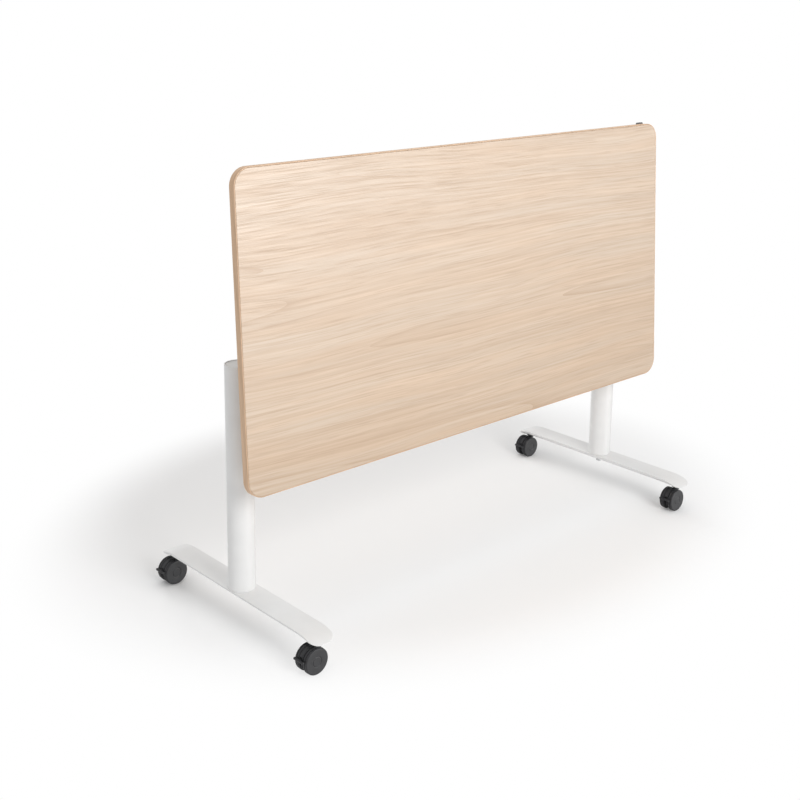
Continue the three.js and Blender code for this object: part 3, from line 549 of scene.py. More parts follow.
def moved_inwards(loop, distance):
    """A closed line moved to its left, which is into the metal for an outline that runs anticlockwise."""
    shifted = []
    for here, before, after in zip(loop, [loop[-1], *loop[:-1]], [*loop[1:], loop[0]]):
        into, out = (here - before).normalized(), (after - here).normalized()
        left_in, left_out = Vector((-into.y, into.x)), Vector((-out.y, out.x))
        shifted.append(here + (left_in + left_out) * distance / max(1 + left_in.dot(left_out), 0.5))
    return shifted


def plate(outline, holes, low, high, rounding, steps=3):
    """A flat plate between two heights, with holes, its edges rounded over all the way round."""
    loops = [outline] + [hole[::-1] for hole in holes]
    levels = []
    for step in range(steps + 1):
        angle = math.pi / 2 * step / steps
        levels.append((rounding * (1 - math.sin(angle)), low + rounding * (1 - math.cos(angle))))
    levels += [(inset, low + high - z) for inset, z in reversed(levels)]
    points, faces, rims = [], [], ([], [])
    for loop in loops:
        count, first = len(loop), len(points)
        for inset, z in levels:
            points += [(*point, z) for point in moved_inwards(loop, inset)]
        for level in range(len(levels) - 1):
            base = first + level * count
            faces += [(base + k, base + (k + 1) % count, base + count + (k + 1) % count, base + count + k)
                      for k in range(count)]
        rims[0].append(list(range(first, first + count)))
        rims[1].append(list(range(first + (len(levels) - 1) * count, first + len(levels) * count)))
    for rim in rims:
        flat = [index for loop in rim for index in loop]
        triangles = tessellate_polygon([[Vector((*points[index][:2], 0)) for index in loop] for loop in rim])
        faces += [tuple(flat[corner] for corner in triangle) for triangle in triangles]
    return shell(points, faces)


DARK_COAT = moulded_finish(
    "dark_powder_coat", dark=(0.060, 0.062, 0.065), pale=(0.078, 0.080, 0.084), roughness=(0.42, 0.55),
    patch_scale=30, skin_scale=1500, skin_depth=0.00006,
)
RUBBER = moulded_finish(
    "black_rubber", dark=(0.010, 0.010, 0.011), pale=(0.021, 0.021, 0.022), roughness=(0.72, 0.86),
    patch_scale=70, skin_scale=1600, skin_depth=0.00008,
)
cheek_outline = band_round([
    (0, 0, CHEEK_PIVOT_RADIUS), (*LOCK_PIN, CHEEK_PIN_RADIUS), (*FLIP_STOP, CHEEK_PIN_RADIUS),
    (*BASE_NEAR, CHEEK_FOOT_RADIUS), (*BASE_FAR, CHEEK_FOOT_RADIUS),
])
cheek_holes = [
    circle(0, 0, PIVOT_RADIUS + PIN_CLEARANCE), circle(*LOCK_PIN, PIN_RADIUS + PIN_CLEARANCE),
    circle(*FLIP_STOP, PIN_RADIUS + PIN_CLEARANCE),
]
cheek_outside = CHEEK_INSIDE + CHEEK_THICKNESS
for side_name, side in SIDES.items():
    pivot = (side * HINGE_X, *PIVOT)
    cheeks = [plate(cheek_outline, cheek_holes, low, low + CHEEK_THICKNESS, 0.7)
              for low in (CHEEK_INSIDE, -cheek_outside)]
    base = plate([Vector(corner) for corner in (
        (BASE_NEAR[0] - CHEEK_FOOT_RADIUS, BASE_BOTTOM), (BASE_FAR[0] + CHEEK_FOOT_RADIUS, BASE_BOTTOM),
        (BASE_FAR[0] + CHEEK_FOOT_RADIUS, BASE_BOTTOM + BASE_THICKNESS),
        (BASE_NEAR[0] - CHEEK_FOOT_RADIUS, BASE_BOTTOM + BASE_THICKNESS),
    )], [], -CHEEK_INSIDE - 0.5, CHEEK_INSIDE + 0.5, 0.4)
    add_piece(f"{side_name}_hinge_bracket", placed(joined(*cheeks, base), ALONG_X, pivot), DARK_COAT,
              "base_frame", "dark_steel", f"hinge_bracket_{side_name}")
    pin = turned(eased([
        (0, -PIVOT_HEAD[1]), (PIVOT_HEAD_RADIUS * 0.7, -PIVOT_HEAD[1]), (PIVOT_HEAD_RADIUS, -PIVOT_HEAD[0] - 1.4),
        (PIVOT_HEAD_RADIUS, -PIVOT_HEAD[0]), (PIVOT_RADIUS, -PIVOT_HEAD[0]), (PIVOT_RADIUS, PIVOT_HEAD[0]),
        (PIVOT_HEAD_RADIUS, PIVOT_HEAD[0]), (PIVOT_HEAD_RADIUS, PIVOT_HEAD[0] + 1.4),
        (PIVOT_HEAD_RADIUS * 0.7, PIVOT_HEAD[1]), (0, PIVOT_HEAD[1]),
    ], 1.2))
    add_piece(f"{side_name}_pivot_pin", placed(pin, ALONG_X, pivot), ZINC, "base_frame",
              "zinc_steel", f"pivot_pin_{side_name}")
    at_lock = (pivot[0], pivot[1] + LOCK_PIN[0], pivot[2] + LOCK_PIN[1])
    lock = turned([(radius, side * along) for radius, along in eased([
        (0, LOCK_PIN_END), (PIN_RADIUS, LOCK_PIN_END), (PIN_RADIUS, LOCK_PIN_HEAD[0]),
        (LOCK_PIN_HEAD_RADIUS, LOCK_PIN_HEAD[0]), (LOCK_PIN_HEAD_RADIUS, LOCK_PIN_HEAD[1]), (0, LOCK_PIN_HEAD[1]),
    ], 0.9)])
    add_piece(f"{side_name}_lock_pin", placed(lock, ALONG_X, at_lock), ZINC, "base_frame",
              "zinc_steel", f"lock_pin_{side_name}")
    sleeve = turned(eased([
        (PIN_RADIUS + PIN_CLEARANCE, -SLEEVE_HALF), (SLEEVE_RADIUS, -SLEEVE_HALF),
        (SLEEVE_RADIUS, SLEEVE_HALF), (PIN_RADIUS + PIN_CLEARANCE, SLEEVE_HALF),
    ], 0.8, closed=True))
    add_piece(f"{side_name}_lock_sleeve", placed(sleeve, ALONG_X, at_lock), RUBBER, "base_frame",
              "black_rubber", f"lock_sleeve_{side_name}")
    stop = turned(eased([
        (0, -STOP_END), (PIN_RADIUS, -STOP_END), (PIN_RADIUS, -SLEEVE_HALF), (SLEEVE_RADIUS, -SLEEVE_HALF),
        (SLEEVE_RADIUS, SLEEVE_HALF), (PIN_RADIUS, SLEEVE_HALF), (PIN_RADIUS, STOP_END), (0, STOP_END),
    ], 0.8))
    at_stop = (pivot[0], pivot[1] + FLIP_STOP[0], pivot[2] + FLIP_STOP[1])
    add_piece(f"{side_name}_flip_stop", placed(stop, ALONG_X, at_stop), RUBBER, "base_frame",
              "black_rubber", f"flip_stop_{side_name}")

# Tabletop: a chipboard panel faced on both sides with pale oak laminate, its corners rounded.
# A plastic strip in a browner oak, glued on, runs all the way round the edge. Its colour is painted paler than its
# own all round, as painted light that stands in for light on the board's left end.
# Its pieces are drawn level, with y rearward and z up from the pivot, and then tipped.
FLIP = math.radians(87)
TIPPED = Matrix.Translation(Vector((0, *PIVOT)) * MM) @ Matrix.Rotation(FLIP, 4, "X")
TOP_LENGTH = 1400
TOP_DEPTH = 700
TOP_CORNER = 40
TOP_CENTRE = 32
BOARD_BOTTOM = 61
BOARD_TOP = 79
STRIP_THICKNESS = 2
STRIP_ROUNDING = 0.9
BOARD_GAP = 0.3
BOARD_ROUNDING = 0.5


def oak_figure_group():
    """Printed oak: figure, streaks and pores that run along the first axis and repeat across the second."""
    group = bpy.data.node_groups.new("oak_figure", "ShaderNodeTree")
    group.interface.new_socket("Vector", in_out="INPUT", socket_type="NodeSocketVector")
    for name in ("Tone", "Warmth", "Pores"):
        group.interface.new_socket(name, in_out="OUTPUT", socket_type="NodeSocketFloat")
    vector = group.nodes.new("NodeGroupInput").outputs["Vector"]
    parts = add_node(group, "ShaderNodeSeparateXYZ", {"Vector": vector}).outputs

    def stretched_noise(along, across, shift, detail, wander=None):
        line = parts["Y"] if wander is None else wander
        place = add_node(group, "ShaderNodeCombineXYZ", {
            "X": math_node(group, "MULTIPLY", parts["X"], along),
            "Y": math_node(group, "MULTIPLY", line, across),
            "Z": math_node(group, "ADD", parts["Z"], shift),
        })
        noise = add_node(group, "ShaderNodeTexNoise", {
            "Vector": place.outputs["Vector"], "Scale": 1.0, "Detail": detail, "Roughness": 0.55,
        })
        return noise.outputs["Fac"]

    drift = math_node(group, "SUBTRACT", stretched_noise(1.1, 3.0, 7.1, 1.0), 0.5)
    wander = math_node(group, "ADD", parts["Y"], math_node(group, "MULTIPLY", drift, 0.06))
    rings = math_node(group, "MULTIPLY", stretched_noise(0.22, 4.4, 2.3, 0.0, wander), 38.0)
    late_wood = math_node(group, "POWER", math_node(group, "FRACT", rings), 7.0)
    come_and_go = add_node(group, "ShaderNodeMapRange", {
        "Value": stretched_noise(1.3, 11.0, 5.7, 1.0, wander), "From Min": 0.40, "From Max": 0.68,
    }).outputs["Result"]
    bands = stretched_noise(0.7, 17.0, 4.9, 3.0, wander)
    streaks = stretched_noise(1.8, 170.0, 1.3, 3.0, wander)
    pores = stretched_noise(10.0, 430.0, 9.4, 1.0, wander)
    warmth = stretched_noise(1.8, 24.0, 6.2, 2.0, wander)
    tone = math_node(group, "MULTIPLY", math_node(group, "MULTIPLY", late_wood, come_and_go), 0.28)
    tone = math_node(group, "ADD", tone, math_node(group, "MULTIPLY", bands, 0.35))
    tone = math_node(group, "ADD", tone, math_node(group, "MULTIPLY", streaks, 0.62))
    add_node(group, "NodeGroupOutput", {"Tone": tone, "Warmth": warmth, "Pores": pores})
    return group


OAK_FIGURE = oak_figure_group()


def oak_finish(name, dark, pale, warm, pore_tint, roughness, sheen, along_edge=None):
    """Oak print on the tipped top: the grain runs along the table, or along the edge by an attribute."""
    material, tree, shader = new_material(name)
    place = add_node(tree, "ShaderNodeTexCoord").outputs["Object"]
    level = add_node(tree, "ShaderNodeMapping", {"Vector": place, "Rotation": (-FLIP, 0, 0)}).outputs["Vector"]
    if along_edge:
        parts = add_node(tree, "ShaderNodeSeparateXYZ", {"Vector": level}).outputs
        travel = add_node(tree, "ShaderNodeAttribute", attribute_name=along_edge).outputs["Fac"]
        level = add_node(tree, "ShaderNodeCombineXYZ", {"X": travel, "Y": parts["Z"]}).outputs["Vector"]
    figure = add_node(tree, "ShaderNodeGroup", {"Vector": level}, node_tree=OAK_FIGURE)
    tone = add_node(tree, "ShaderNodeMapRange", {
        "Value": figure.outputs["Tone"], "From Min": 0.30, "From Max": 0.74,
    })
    warmth = add_node(tree, "ShaderNodeMapRange", {
        "Value": figure.outputs["Warmth"], "From Min": 0.36, "From Max": 0.64,
    })
    ground = add_node(tree, "ShaderNodeMix", {
        "Factor": warmth.outputs["Result"], "A": (*pale, 1), "B": (*warm, 1),
    }, data_type="RGBA")
    wood = add_node(tree, "ShaderNodeMix", {
        "Factor": tone.outputs["Result"], "A": ground.outputs["Result"], "B": (*dark, 1),
    }, data_type="RGBA")
    fleck = add_node(tree, "ShaderNodeMapRange", {
        "Value": figure.outputs["Pores"], "From Min": 0.54, "From Max": 0.72, "To Max": 0.55,
    })
    colour = add_node(tree, "ShaderNodeMix", {
        "Factor": fleck.outputs["Result"], "A": wood.outputs["Result"], "B": (*pore_tint, 1),
    }, data_type="RGBA")
    tree.links.new(colour.outputs["Result"], shader.inputs["Base Color"])
    gloss = add_node(tree, "ShaderNodeMapRange", {
        "Value": figure.outputs["Pores"], "From Min": 0.35, "From Max": 0.7,
        "To Min": roughness[0], "To Max": roughness[1],
    })
    tree.links.new(gloss.outputs["Result"], shader.inputs["Roughness"])
    relief = add_node(tree, "ShaderNodeBump", {
        "Height": figure.outputs["Pores"], "Strength": 0.35, "Distance": 0.00008,
    })
    tree.links.new(relief.outputs["Normal"], shader.inputs["Normal"])
    shader.inputs["Specular IOR Level"].default_value = sheen
    return material


def edge_strip_tree():
    """A strip swept round a rectangle with round corners; "along" keeps the distance round it."""
    tree = bpy.data.node_groups.new("edge_strip", "GeometryNodeTree")
    for name in ("Length", "Depth", "Corner Radius", "Strip Thickness", "Strip Height", "Strip Rounding"):
        tree.interface.new_socket(name, in_out="INPUT", socket_type="NodeSocketFloat")
    tree.interface.new_socket("Strip Finish", in_out="INPUT", socket_type="NodeSocketMaterial")
    tree.interface.new_socket("Strip", in_out="OUTPUT", socket_type="NodeSocketGeometry")
    sizes = tree.nodes.new("NodeGroupInput").outputs
    half = math_node(tree, "MULTIPLY", sizes["Strip Thickness"], 0.5)
    rectangle = add_node(tree, "GeometryNodeCurvePrimitiveQuadrilateral", {
        "Width": math_node(tree, "SUBTRACT", sizes["Length"], sizes["Strip Thickness"]),
        "Height": math_node(tree, "SUBTRACT", sizes["Depth"], sizes["Strip Thickness"]),
    })
    path = add_node(tree, "GeometryNodeFilletCurve", {
        "Curve": rectangle.outputs["Curve"], "Count": 20,
        "Radius": math_node(tree, "SUBTRACT", sizes["Corner Radius"], half),
    }, mode="POLY")
    upright = add_node(tree, "GeometryNodeSetCurveNormal", {"Curve": path.outputs["Curve"]}, mode="Z_UP")
    travel = add_node(tree, "GeometryNodeSplineParameter").outputs["Length"]
    marked = add_node(tree, "GeometryNodeStoreNamedAttribute", {
        "Geometry": upright.outputs["Curve"], "Name": "along", "Value": travel,
    }, data_type="FLOAT", domain="POINT")
    section = add_node(tree, "GeometryNodeCurvePrimitiveQuadrilateral", {
        "Width": sizes["Strip Thickness"], "Height": sizes["Strip Height"],
    })
    eased_section = add_node(tree, "GeometryNodeFilletCurve", {
        "Curve": section.outputs["Curve"], "Count": 4, "Radius": sizes["Strip Rounding"],
    }, mode="POLY")
    strip = add_node(tree, "GeometryNodeCurveToMesh", {
        "Curve": marked.outputs["Geometry"], "Profile Curve": eased_section.outputs["Curve"],
    })
    real = add_node(tree, "GeometryNodeRealizeInstances", {"Geometry": strip.outputs["Mesh"]})
    finish = add_node(tree, "GeometryNodeSetMaterial", {
        "Geometry": real.outputs["Geometry"], "Material": sizes["Strip Finish"],
    })
    add_node(tree, "NodeGroupOutput", {"Strip": finish.outputs["Geometry"]})
    return tree


OAK = oak_finish(
    "oak_laminate", dark=(0.466, 0.318, 0.201), pale=(0.600, 0.478, 0.361), warm=(0.629, 0.464, 0.323),
    pore_tint=(0.433, 0.294, 0.189), roughness=(0.38, 0.48), sheen=0.5,
)
# Edge strip colours: a browner oak, painted paler all round as painted light for the board's left end, which the
# lamps leave dim.
OAK_EDGE_WITH_PAINTED_LIGHT = oak_finish(
    "oak_edge_strip", dark=(0.59, 0.39, 0.24), pale=(0.77, 0.545, 0.37), warm=(0.79, 0.53, 0.35),
    pore_tint=(0.51, 0.335, 0.207), roughness=(0.45, 0.60), sheen=0.5, along_edge="along",
)
inset = STRIP_THICKNESS + BOARD_GAP
panel = plate(
    rounded_rectangle(TOP_LENGTH - 2 * inset, TOP_DEPTH - 2 * inset, TOP_CORNER - inset, steps=20), [],
    BOARD_BOTTOM, BOARD_TOP, BOARD_ROUNDING,
)
add_piece("oak_board", placed(panel, TIPPED @ Matrix.Translation((0, TOP_CENTRE * MM, 0))), OAK, "top",
          "oak_laminate", "tabletop_board")
strip_middle = (BOARD_BOTTOM + BOARD_TOP) / 2
strip = grown(edge_strip_tree(), {
    "Length": TOP_LENGTH * MM, "Depth": TOP_DEPTH * MM, "Corner Radius": TOP_CORNER * MM,
    "Strip Thickness": STRIP_THICKNESS * MM, "Strip Height": (BOARD_TOP - BOARD_BOTTOM) * MM,
    "Strip Rounding": STRIP_ROUNDING * MM, "Strip Finish": OAK_EDGE_WITH_PAINTED_LIGHT,
})
add_piece("oak_edge_strip", placed(strip, TIPPED @ Matrix.Translation(Vector((0, TOP_CENTRE, strip_middle)) * MM)),
          OAK_EDGE_WITH_PAINTED_LIGHT, "top", "oak_edge", "edge_band")

# Hinge arms: a steel web welded under a flange, coated dark and screwed to the board at each end.
# A nylon bush in the web turns on the pivot pin. A small steel plate screwed on at the rear edge
# links one table to the next.
ARM_HALF = 6
ARM_EDGE = 14
ARM_FRONT = (-60, 41.7)
ARM_REAR = (100, 41.7)
FLANGE_BOTTOM = 55.7
FLANGE_TOP = 60.7
FLANGE_WIDTH = 60
FLANGE_START = -90
FLANGE_END = 130
FLANGE_CORNER = 8
BUSH_RADIUS = 9
SHAFT_AT = (75, 35)
SHAFT_RADIUS = 6
SCREW_RADIUS = 4.6
SCREW_HEIGHT = 2.2
SCREW_KEY_HALF = 1.6
ARM_SCREW_SPREAD = (38, 180)
LINK_X = 650
LINK_WIDTH = 28
LINK_START = 326
LINK_END = 386
LINK_BOTTOM = 57.7
LINK_CORNER = 4
LINK_HOLE = 3.2
LINK_SCREW_SPREAD = 26


def rows_tree():
    """One small part repeated on a grid of points."""
    tree = bpy.data.node_groups.new("rows_of_parts", "GeometryNodeTree")
    for name, kind in (("Part", "Object"), ("Columns", "Int"), ("Rows", "Int"), ("Width", "Float"),
                       ("Depth", "Float"), ("Part Finish", "Material")):
        tree.interface.new_socket(name, in_out="INPUT", socket_type=f"NodeSocket{kind}")
    tree.interface.new_socket("Parts", in_out="OUTPUT", socket_type="NodeSocketGeometry")
    sizes = tree.nodes.new("NodeGroupInput").outputs
    grid = add_node(tree, "GeometryNodeMeshGrid", {
        "Size X": sizes["Width"], "Size Y": sizes["Depth"],
        "Vertices X": sizes["Columns"], "Vertices Y": sizes["Rows"],
    })
    part = add_node(tree, "GeometryNodeObjectInfo", {"Object": sizes["Part"]})
    parts = add_node(tree, "GeometryNodeInstanceOnPoints", {
        "Points": grid.outputs["Mesh"], "Instance": part.outputs["Geometry"],
    })
    real = add_node(tree, "GeometryNodeRealizeInstances", {"Geometry": parts.outputs["Instances"]})
    finish = add_node(tree, "GeometryNodeSetMaterial", {
        "Geometry": real.outputs["Geometry"], "Material": sizes["Part Finish"],
    })
    add_node(tree, "NodeGroupOutput", {"Parts": finish.outputs["Geometry"]})
    return tree


ROWS = rows_tree()


def rows_of(part_mesh, columns, rows, width, depth, finish):
    """A grid of one part, width and depth in millimetres between the outer ones, as a plain mesh."""
    part = bpy.data.objects.new("part", part_mesh)
    bpy.context.scene.collection.objects.link(part)
    mesh = grown(ROWS, {
        "Part": part, "Columns": columns, "Rows": rows, "Width": width * MM, "Depth": depth * MM,
        "Part Finish": finish,
    })
    bpy.data.objects.remove(part)
    return mesh


def screw_head():
    """A pan head that hangs below z = 0, with a hexagon key hole."""
    dome = eased([
        (0, 0), (SCREW_RADIUS, 0), (SCREW_RADIUS, -SCREW_HEIGHT * 0.45), (SCREW_RADIUS * 0.72, -SCREW_HEIGHT),
        (SCREW_KEY_HALF, -SCREW_HEIGHT),
    ], 0.6, steps=3)
    key = [(SCREW_KEY_HALF, -SCREW_HEIGHT * 0.35), (0, -SCREW_HEIGHT * 0.35)]
    return turned([*dome, *key], segments=30, hex_from=len(dome) - 1)


BUSH_PLASTIC = moulded_finish(
    "charcoal_bush", dark=(0.030, 0.031, 0.033), pale=(0.050, 0.051, 0.054), roughness=(0.42, 0.56),
    patch_scale=60, skin_scale=1900, skin_depth=0.00005,
)
web_outline = band_round([
    (0, 0, ARM_EDGE), (*ARM_FRONT, ARM_EDGE), (*ARM_REAR, ARM_EDGE),
    (ARM_FRONT[0] - ARM_EDGE + 1, FLANGE_BOTTOM, 1), (ARM_REAR[0] + ARM_EDGE - 1, FLANGE_BOTTOM, 1),
])
web_holes = [circle(0, 0, BUSH_RADIUS + PIN_CLEARANCE), circle(*SHAFT_AT, SHAFT_RADIUS + PIN_CLEARANCE)]
flange_middle = (FLANGE_START + FLANGE_END) / 2
for side_name, side in SIDES.items():
    at_hinge = TIPPED @ Matrix.Translation((side * HINGE_X * MM, 0, 0))
    web = placed(plate(web_outline, web_holes, -ARM_HALF, ARM_HALF, 1.0), ALONG_X)
    flange = placed(plate(
        rounded_rectangle(FLANGE_WIDTH, FLANGE_END - FLANGE_START, FLANGE_CORNER), [],
        FLANGE_BOTTOM, FLANGE_TOP, 0.9,
    ), at=(0, flange_middle, 0))
    add_piece(f"{side_name}_hinge_arm", placed(joined(web, flange), at_hinge), DARK_COAT, "top",
              "dark_steel", f"hinge_arm_{side_name}")
    screws = placed(rows_of(screw_head(), 2, 3, *ARM_SCREW_SPREAD, ZINC), at=(0, flange_middle, FLANGE_BOTTOM))
    add_piece(f"{side_name}_arm_screws", placed(screws, at_hinge), ZINC, "top", "zinc_steel")
    bush = turned(eased([
        (PIVOT_RADIUS + PIN_CLEARANCE, -SLEEVE_HALF), (BUSH_RADIUS, -SLEEVE_HALF),
        (BUSH_RADIUS, SLEEVE_HALF), (PIVOT_RADIUS + PIN_CLEARANCE, SLEEVE_HALF),
    ], 0.7, closed=True))
    add_piece(f"{side_name}_pivot_bush", placed(placed(bush, ALONG_X), at_hinge), BUSH_PLASTIC, "top",
              "charcoal_plastic", f"pivot_bush_{side_name}")

link_middle = (LINK_START + LINK_END) / 2
link = plate(rounded_rectangle(LINK_WIDTH, LINK_END - LINK_START, LINK_CORNER),
             [circle(0, -LINK_SCREW_SPREAD / 2, LINK_HOLE), circle(0, LINK_SCREW_SPREAD / 2, LINK_HOLE)],
             LINK_BOTTOM, FLANGE_TOP, 0.6)
at_link = TIPPED @ Matrix.Translation((LINK_X * MM, link_middle * MM, 0))
add_piece("nesting_link_plate", placed(link, at_link), DARK_COAT, "top", "dark_steel", "link_plate")
link_screws = placed(rows_of(screw_head(), 1, 2, 0, LINK_SCREW_SPREAD, ZINC), at=(0, 0, LINK_BOTTOM))
add_piece("link_plate_screws", placed(link_screws, at_link), ZINC, "top", "zinc_steel")

# Latch: a zinc plated shaft under the board turns in the arms, with a steel hook beside each arm
# that catches the lock pin and a wire spring that pulls it shut. One moulded handle in the middle frees both.
SHAFT_HALF = 574
HOOK_X = 540
HOOK_HALF = 3
HOOK_BOSS = (0, 0, 10)
HOOK_PIN = (5.573, -25.562)
HOOK_BACK = (18.573, -25.562, 6)
HOOK_NOSE = (6.573, -35.362, 3.6)
HOOK_MOUTH = 5.3
SPRING_WIRE = 0.8
SPRING_START = 535.9
SPRING_COIL = 7.685
SPRING_TURNS = 4
SPRING_PITCH = 2.4
SPRING_LEG = 18.7
HANDLE_HUB_RADIUS = 11
HANDLE_HUB_HALF = 30
HANDLE_WIDTH = 120
HANDLE_LENGTH = 95
HANDLE_THICKNESS = 4
HANDLE_CORNER = 20
HANDLE_FROM_AXIS = 54.5
HANDLE_SLOPE = math.radians(-22)
HANDLE_RIB = (78, 2.2, 0.9)
HANDLE_RIBS = 6
HANDLE_RIB_SPREAD = 50


def tangent(a, b):
    """Where a band from disc a to disc b leaves and arrives, on the right of its travel."""
    (ax, ay, ra), (bx, by, rb) = a, b
    span = Vector((bx - ax, by - ay))
    turn = math.atan2(span.y, span.x) - math.acos((ra - rb) / span.length)
    out = Vector((math.cos(turn), math.sin(turn)))
    return Vector((ax, ay)) + out * ra, Vector((bx, by)) + out * rb


def arc(centre, start, end, anticlockwise=True, steps=24):
    """Points on a circle from one point to another."""
    centre = Vector(centre[:2])
    first = math.atan2(start.y - centre.y, start.x - centre.x)
    turn = (math.atan2(end.y - centre.y, end.x - centre.x) - first) % (2 * math.pi)
    if not anticlockwise:
        turn -= 2 * math.pi
    radius = (start - centre).length
    return [centre + Vector((math.cos(first + turn * k / steps), math.sin(first + turn * k / steps))) * radius
            for k in range(steps + 1)]


def line_meets_circle(start, end, centre, radius, first):
    """The first or last point where a straight line crosses a circle."""
    along = (end - start).normalized()
    middle = (Vector(centre) - start).dot(along)
    nearest = start + along * middle
    half = math.sqrt(radius ** 2 - (nearest - Vector(centre)).length ** 2)
    return start + along * (middle - half if first else middle + half)


def hook_outline():
    """Anticlockwise round the hook: in at its mouth, round the nose, up its back and over the boss."""
    boss_inner, back_inner = tangent(HOOK_BOSS, HOOK_BACK)
    back_lip, nose_lip = tangent(HOOK_BACK, HOOK_NOSE)
    nose_outer, back_outer = tangent(HOOK_NOSE, HOOK_BACK)
    back_rise, boss_outer = tangent(HOOK_BACK, HOOK_BOSS)
    mouth_top = line_meets_circle(boss_inner, back_inner, HOOK_PIN, HOOK_MOUTH, first=True)
    mouth_end = line_meets_circle(back_lip, nose_lip, HOOK_PIN, HOOK_MOUTH, first=False)
    return [
        *arc(HOOK_PIN, mouth_top, mouth_end, anticlockwise=False), *arc(HOOK_NOSE, nose_lip, nose_outer),
        *arc(HOOK_BACK, back_outer, back_rise), *arc(HOOK_BOSS, boss_outer, boss_inner),
    ]


def spring_path(side):
    """Down from just under the flange, round the shaft away from the hook, and down again behind it."""
    steps = 36
    path = [(side * SPRING_START, SPRING_COIL, SPRING_LEG)]
    for step in range(SPRING_TURNS * steps + 1):
        angle = 2 * math.pi * step / steps
        path.append((side * (SPRING_START - SPRING_PITCH * step / steps),
                     SPRING_COIL * math.cos(angle), -SPRING_COIL * math.sin(angle)))
    end = path[-1]
    path.append((end[0], end[1], end[2] - 2 * SPRING_COIL))
    return path


SPRING_STEEL = steel_finish(
    "spring_wire", dark=(0.34, 0.34, 0.35), pale=(0.48, 0.48, 0.49), roughness=(0.24, 0.36),
    patch_scale=220, skin_scale=3000, skin_depth=0.00002,
)
CHARCOAL = moulded_finish(
    "charcoal_plastic", dark=(0.016, 0.016, 0.018), pale=(0.026, 0.026, 0.029), roughness=(0.40, 0.52),
    patch_scale=60, skin_scale=1900, skin_depth=0.00006, Specular_IOR_Level=0.35,
)
at_shaft = TIPPED @ Matrix.Translation(Vector((0, *SHAFT_AT)) * MM)
shaft = turned(eased([
    (0, -SHAFT_HALF), (SHAFT_RADIUS, -SHAFT_HALF), (SHAFT_RADIUS, SHAFT_HALF), (0, SHAFT_HALF),
], 1.0))
add_piece("latch_shaft", placed(placed(shaft, ALONG_X), at_shaft), ZINC, "release_bar",
          "zinc_steel", "release_shaft")
for side_name, side in SIDES.items():
    hook = plate(hook_outline(), [circle(0, 0, SHAFT_RADIUS + PIN_CLEARANCE)], -HOOK_HALF, HOOK_HALF, 0.6)
    add_piece(f"{side_name}_latch_hook", placed(placed(hook, ALONG_X, (side * HOOK_X, 0, 0)), at_shaft), ZINC,
              "release_bar", "zinc_steel", f"latch_hook_{side_name}")
    coil = grown(ROUND_WIRE, {
        "Wire Radius": SPRING_WIRE * MM, "Wire Sides": 12, "Ripples": 0.0, "Ripple Share": 0.0,
        "Wire Finish": SPRING_STEEL,
    }, path_mesh(spring_path(side)))
    add_piece(f"{side_name}_latch_spring", placed(coil, at_shaft), SPRING_STEEL, "release_bar",
              "zinc_steel", f"release_spring_{side_name}")

hub = placed(turned(eased([
    (SHAFT_RADIUS + PIN_CLEARANCE, -HANDLE_HUB_HALF), (HANDLE_HUB_RADIUS, -HANDLE_HUB_HALF),
    (HANDLE_HUB_RADIUS, HANDLE_HUB_HALF), (SHAFT_RADIUS + PIN_CLEARANCE, HANDLE_HUB_HALF),
], 1.4, closed=True)), ALONG_X)
paddle = plate(rounded_rectangle(HANDLE_WIDTH, HANDLE_LENGTH, HANDLE_CORNER, steps=12), [],
               -HANDLE_THICKNESS / 2, HANDLE_THICKNESS / 2, 1.4)
rib_length, rib_width, rib_height = HANDLE_RIB
rib = plate(rounded_rectangle(rib_length, rib_width, rib_width / 2 - 0.05), [], -rib_height, 1.0, 0.5)
ribs = rows_of(rib, 1, HANDLE_RIBS, 0, HANDLE_RIB_SPREAD, CHARCOAL)
placed(ribs, at=(0, 8, -HANDLE_THICKNESS / 2))
grip = placed(joined(paddle, ribs), at=(0, HANDLE_FROM_AXIS, 0))
grip.transform(Matrix.Rotation(HANDLE_SLOPE, 4, "X"))
add_piece("latch_handle", placed(joined(hub, grip), at_shaft), CHARCOAL, "release_bar",
          "charcoal_plastic", "release_handle")

# Casters: twin nylon wheels on a steel axle through a moulded hood that swivels on a plated stem.
# The stem's stud screws into the foot. A moulded brake lever with a cross bar pivots in the hood's slot.
# Each is drawn about its stem's axis, with its wheels trailing toward -X.
CASTER_Y = 268
AXLE = (-15, 30)
WHEEL_RADIUS = 30
WHEEL_INSIDE = 6.5
WHEEL_WIDTH = 13
WHEEL_BORE = 4.3
WHEEL_BORE_DEPTH = 9
AXLE_RADIUS = 4
AXLE_HALF = 15.2
STEM_BOTTOM = 54.3
STEM_RADIUS = 4
COLLAR_BOTTOM = 64.3
COLLAR_RADIUS = 9
COLLAR_TOP = 67.3
STUD_RADIUS = 5
STUD_TOP = 75.3
HOOD_HALF = 6
HOOD_CHORD = math.radians(20)
HOOD_ROUNDING = 1.2
HOOD_SLOT_HALF = 3.5
HOOD_SLOT_END = -25
HOOD_SLOT_TOP = 42.6
NECK_RADIUS = 10
NECK_TOP = 64
NECK_LEAN = math.radians(60)
NECK_FROM_AXLE = 31.2
NECK_BORE = 4.4
BRAKE_PIVOT = (-32, 33.6)
BRAKE_PIVOT_RADIUS = 2.5
BRAKE_PIVOT_HALF = 5.7
BRAKE_BORE = 2.9
BRAKE_BOSS = 5
BRAKE_HALF = 3
BRAKE_BAR = (-48.5, 37)
BRAKE_BAR_RADIUS = 3
BRAKE_BAR_HALF = 16
BRAKE_GRIPS = 7


def upright_plate(outline, holes, low, high, rounding):
    """A plate drawn in x and z, between two places along Y."""
    return placed(plate([Vector((z, x)) for x, z in outline][::-1],
                        [[Vector((z, x)) for x, z in hole][::-1] for hole in holes], low, high, rounding), ALONG_Y)


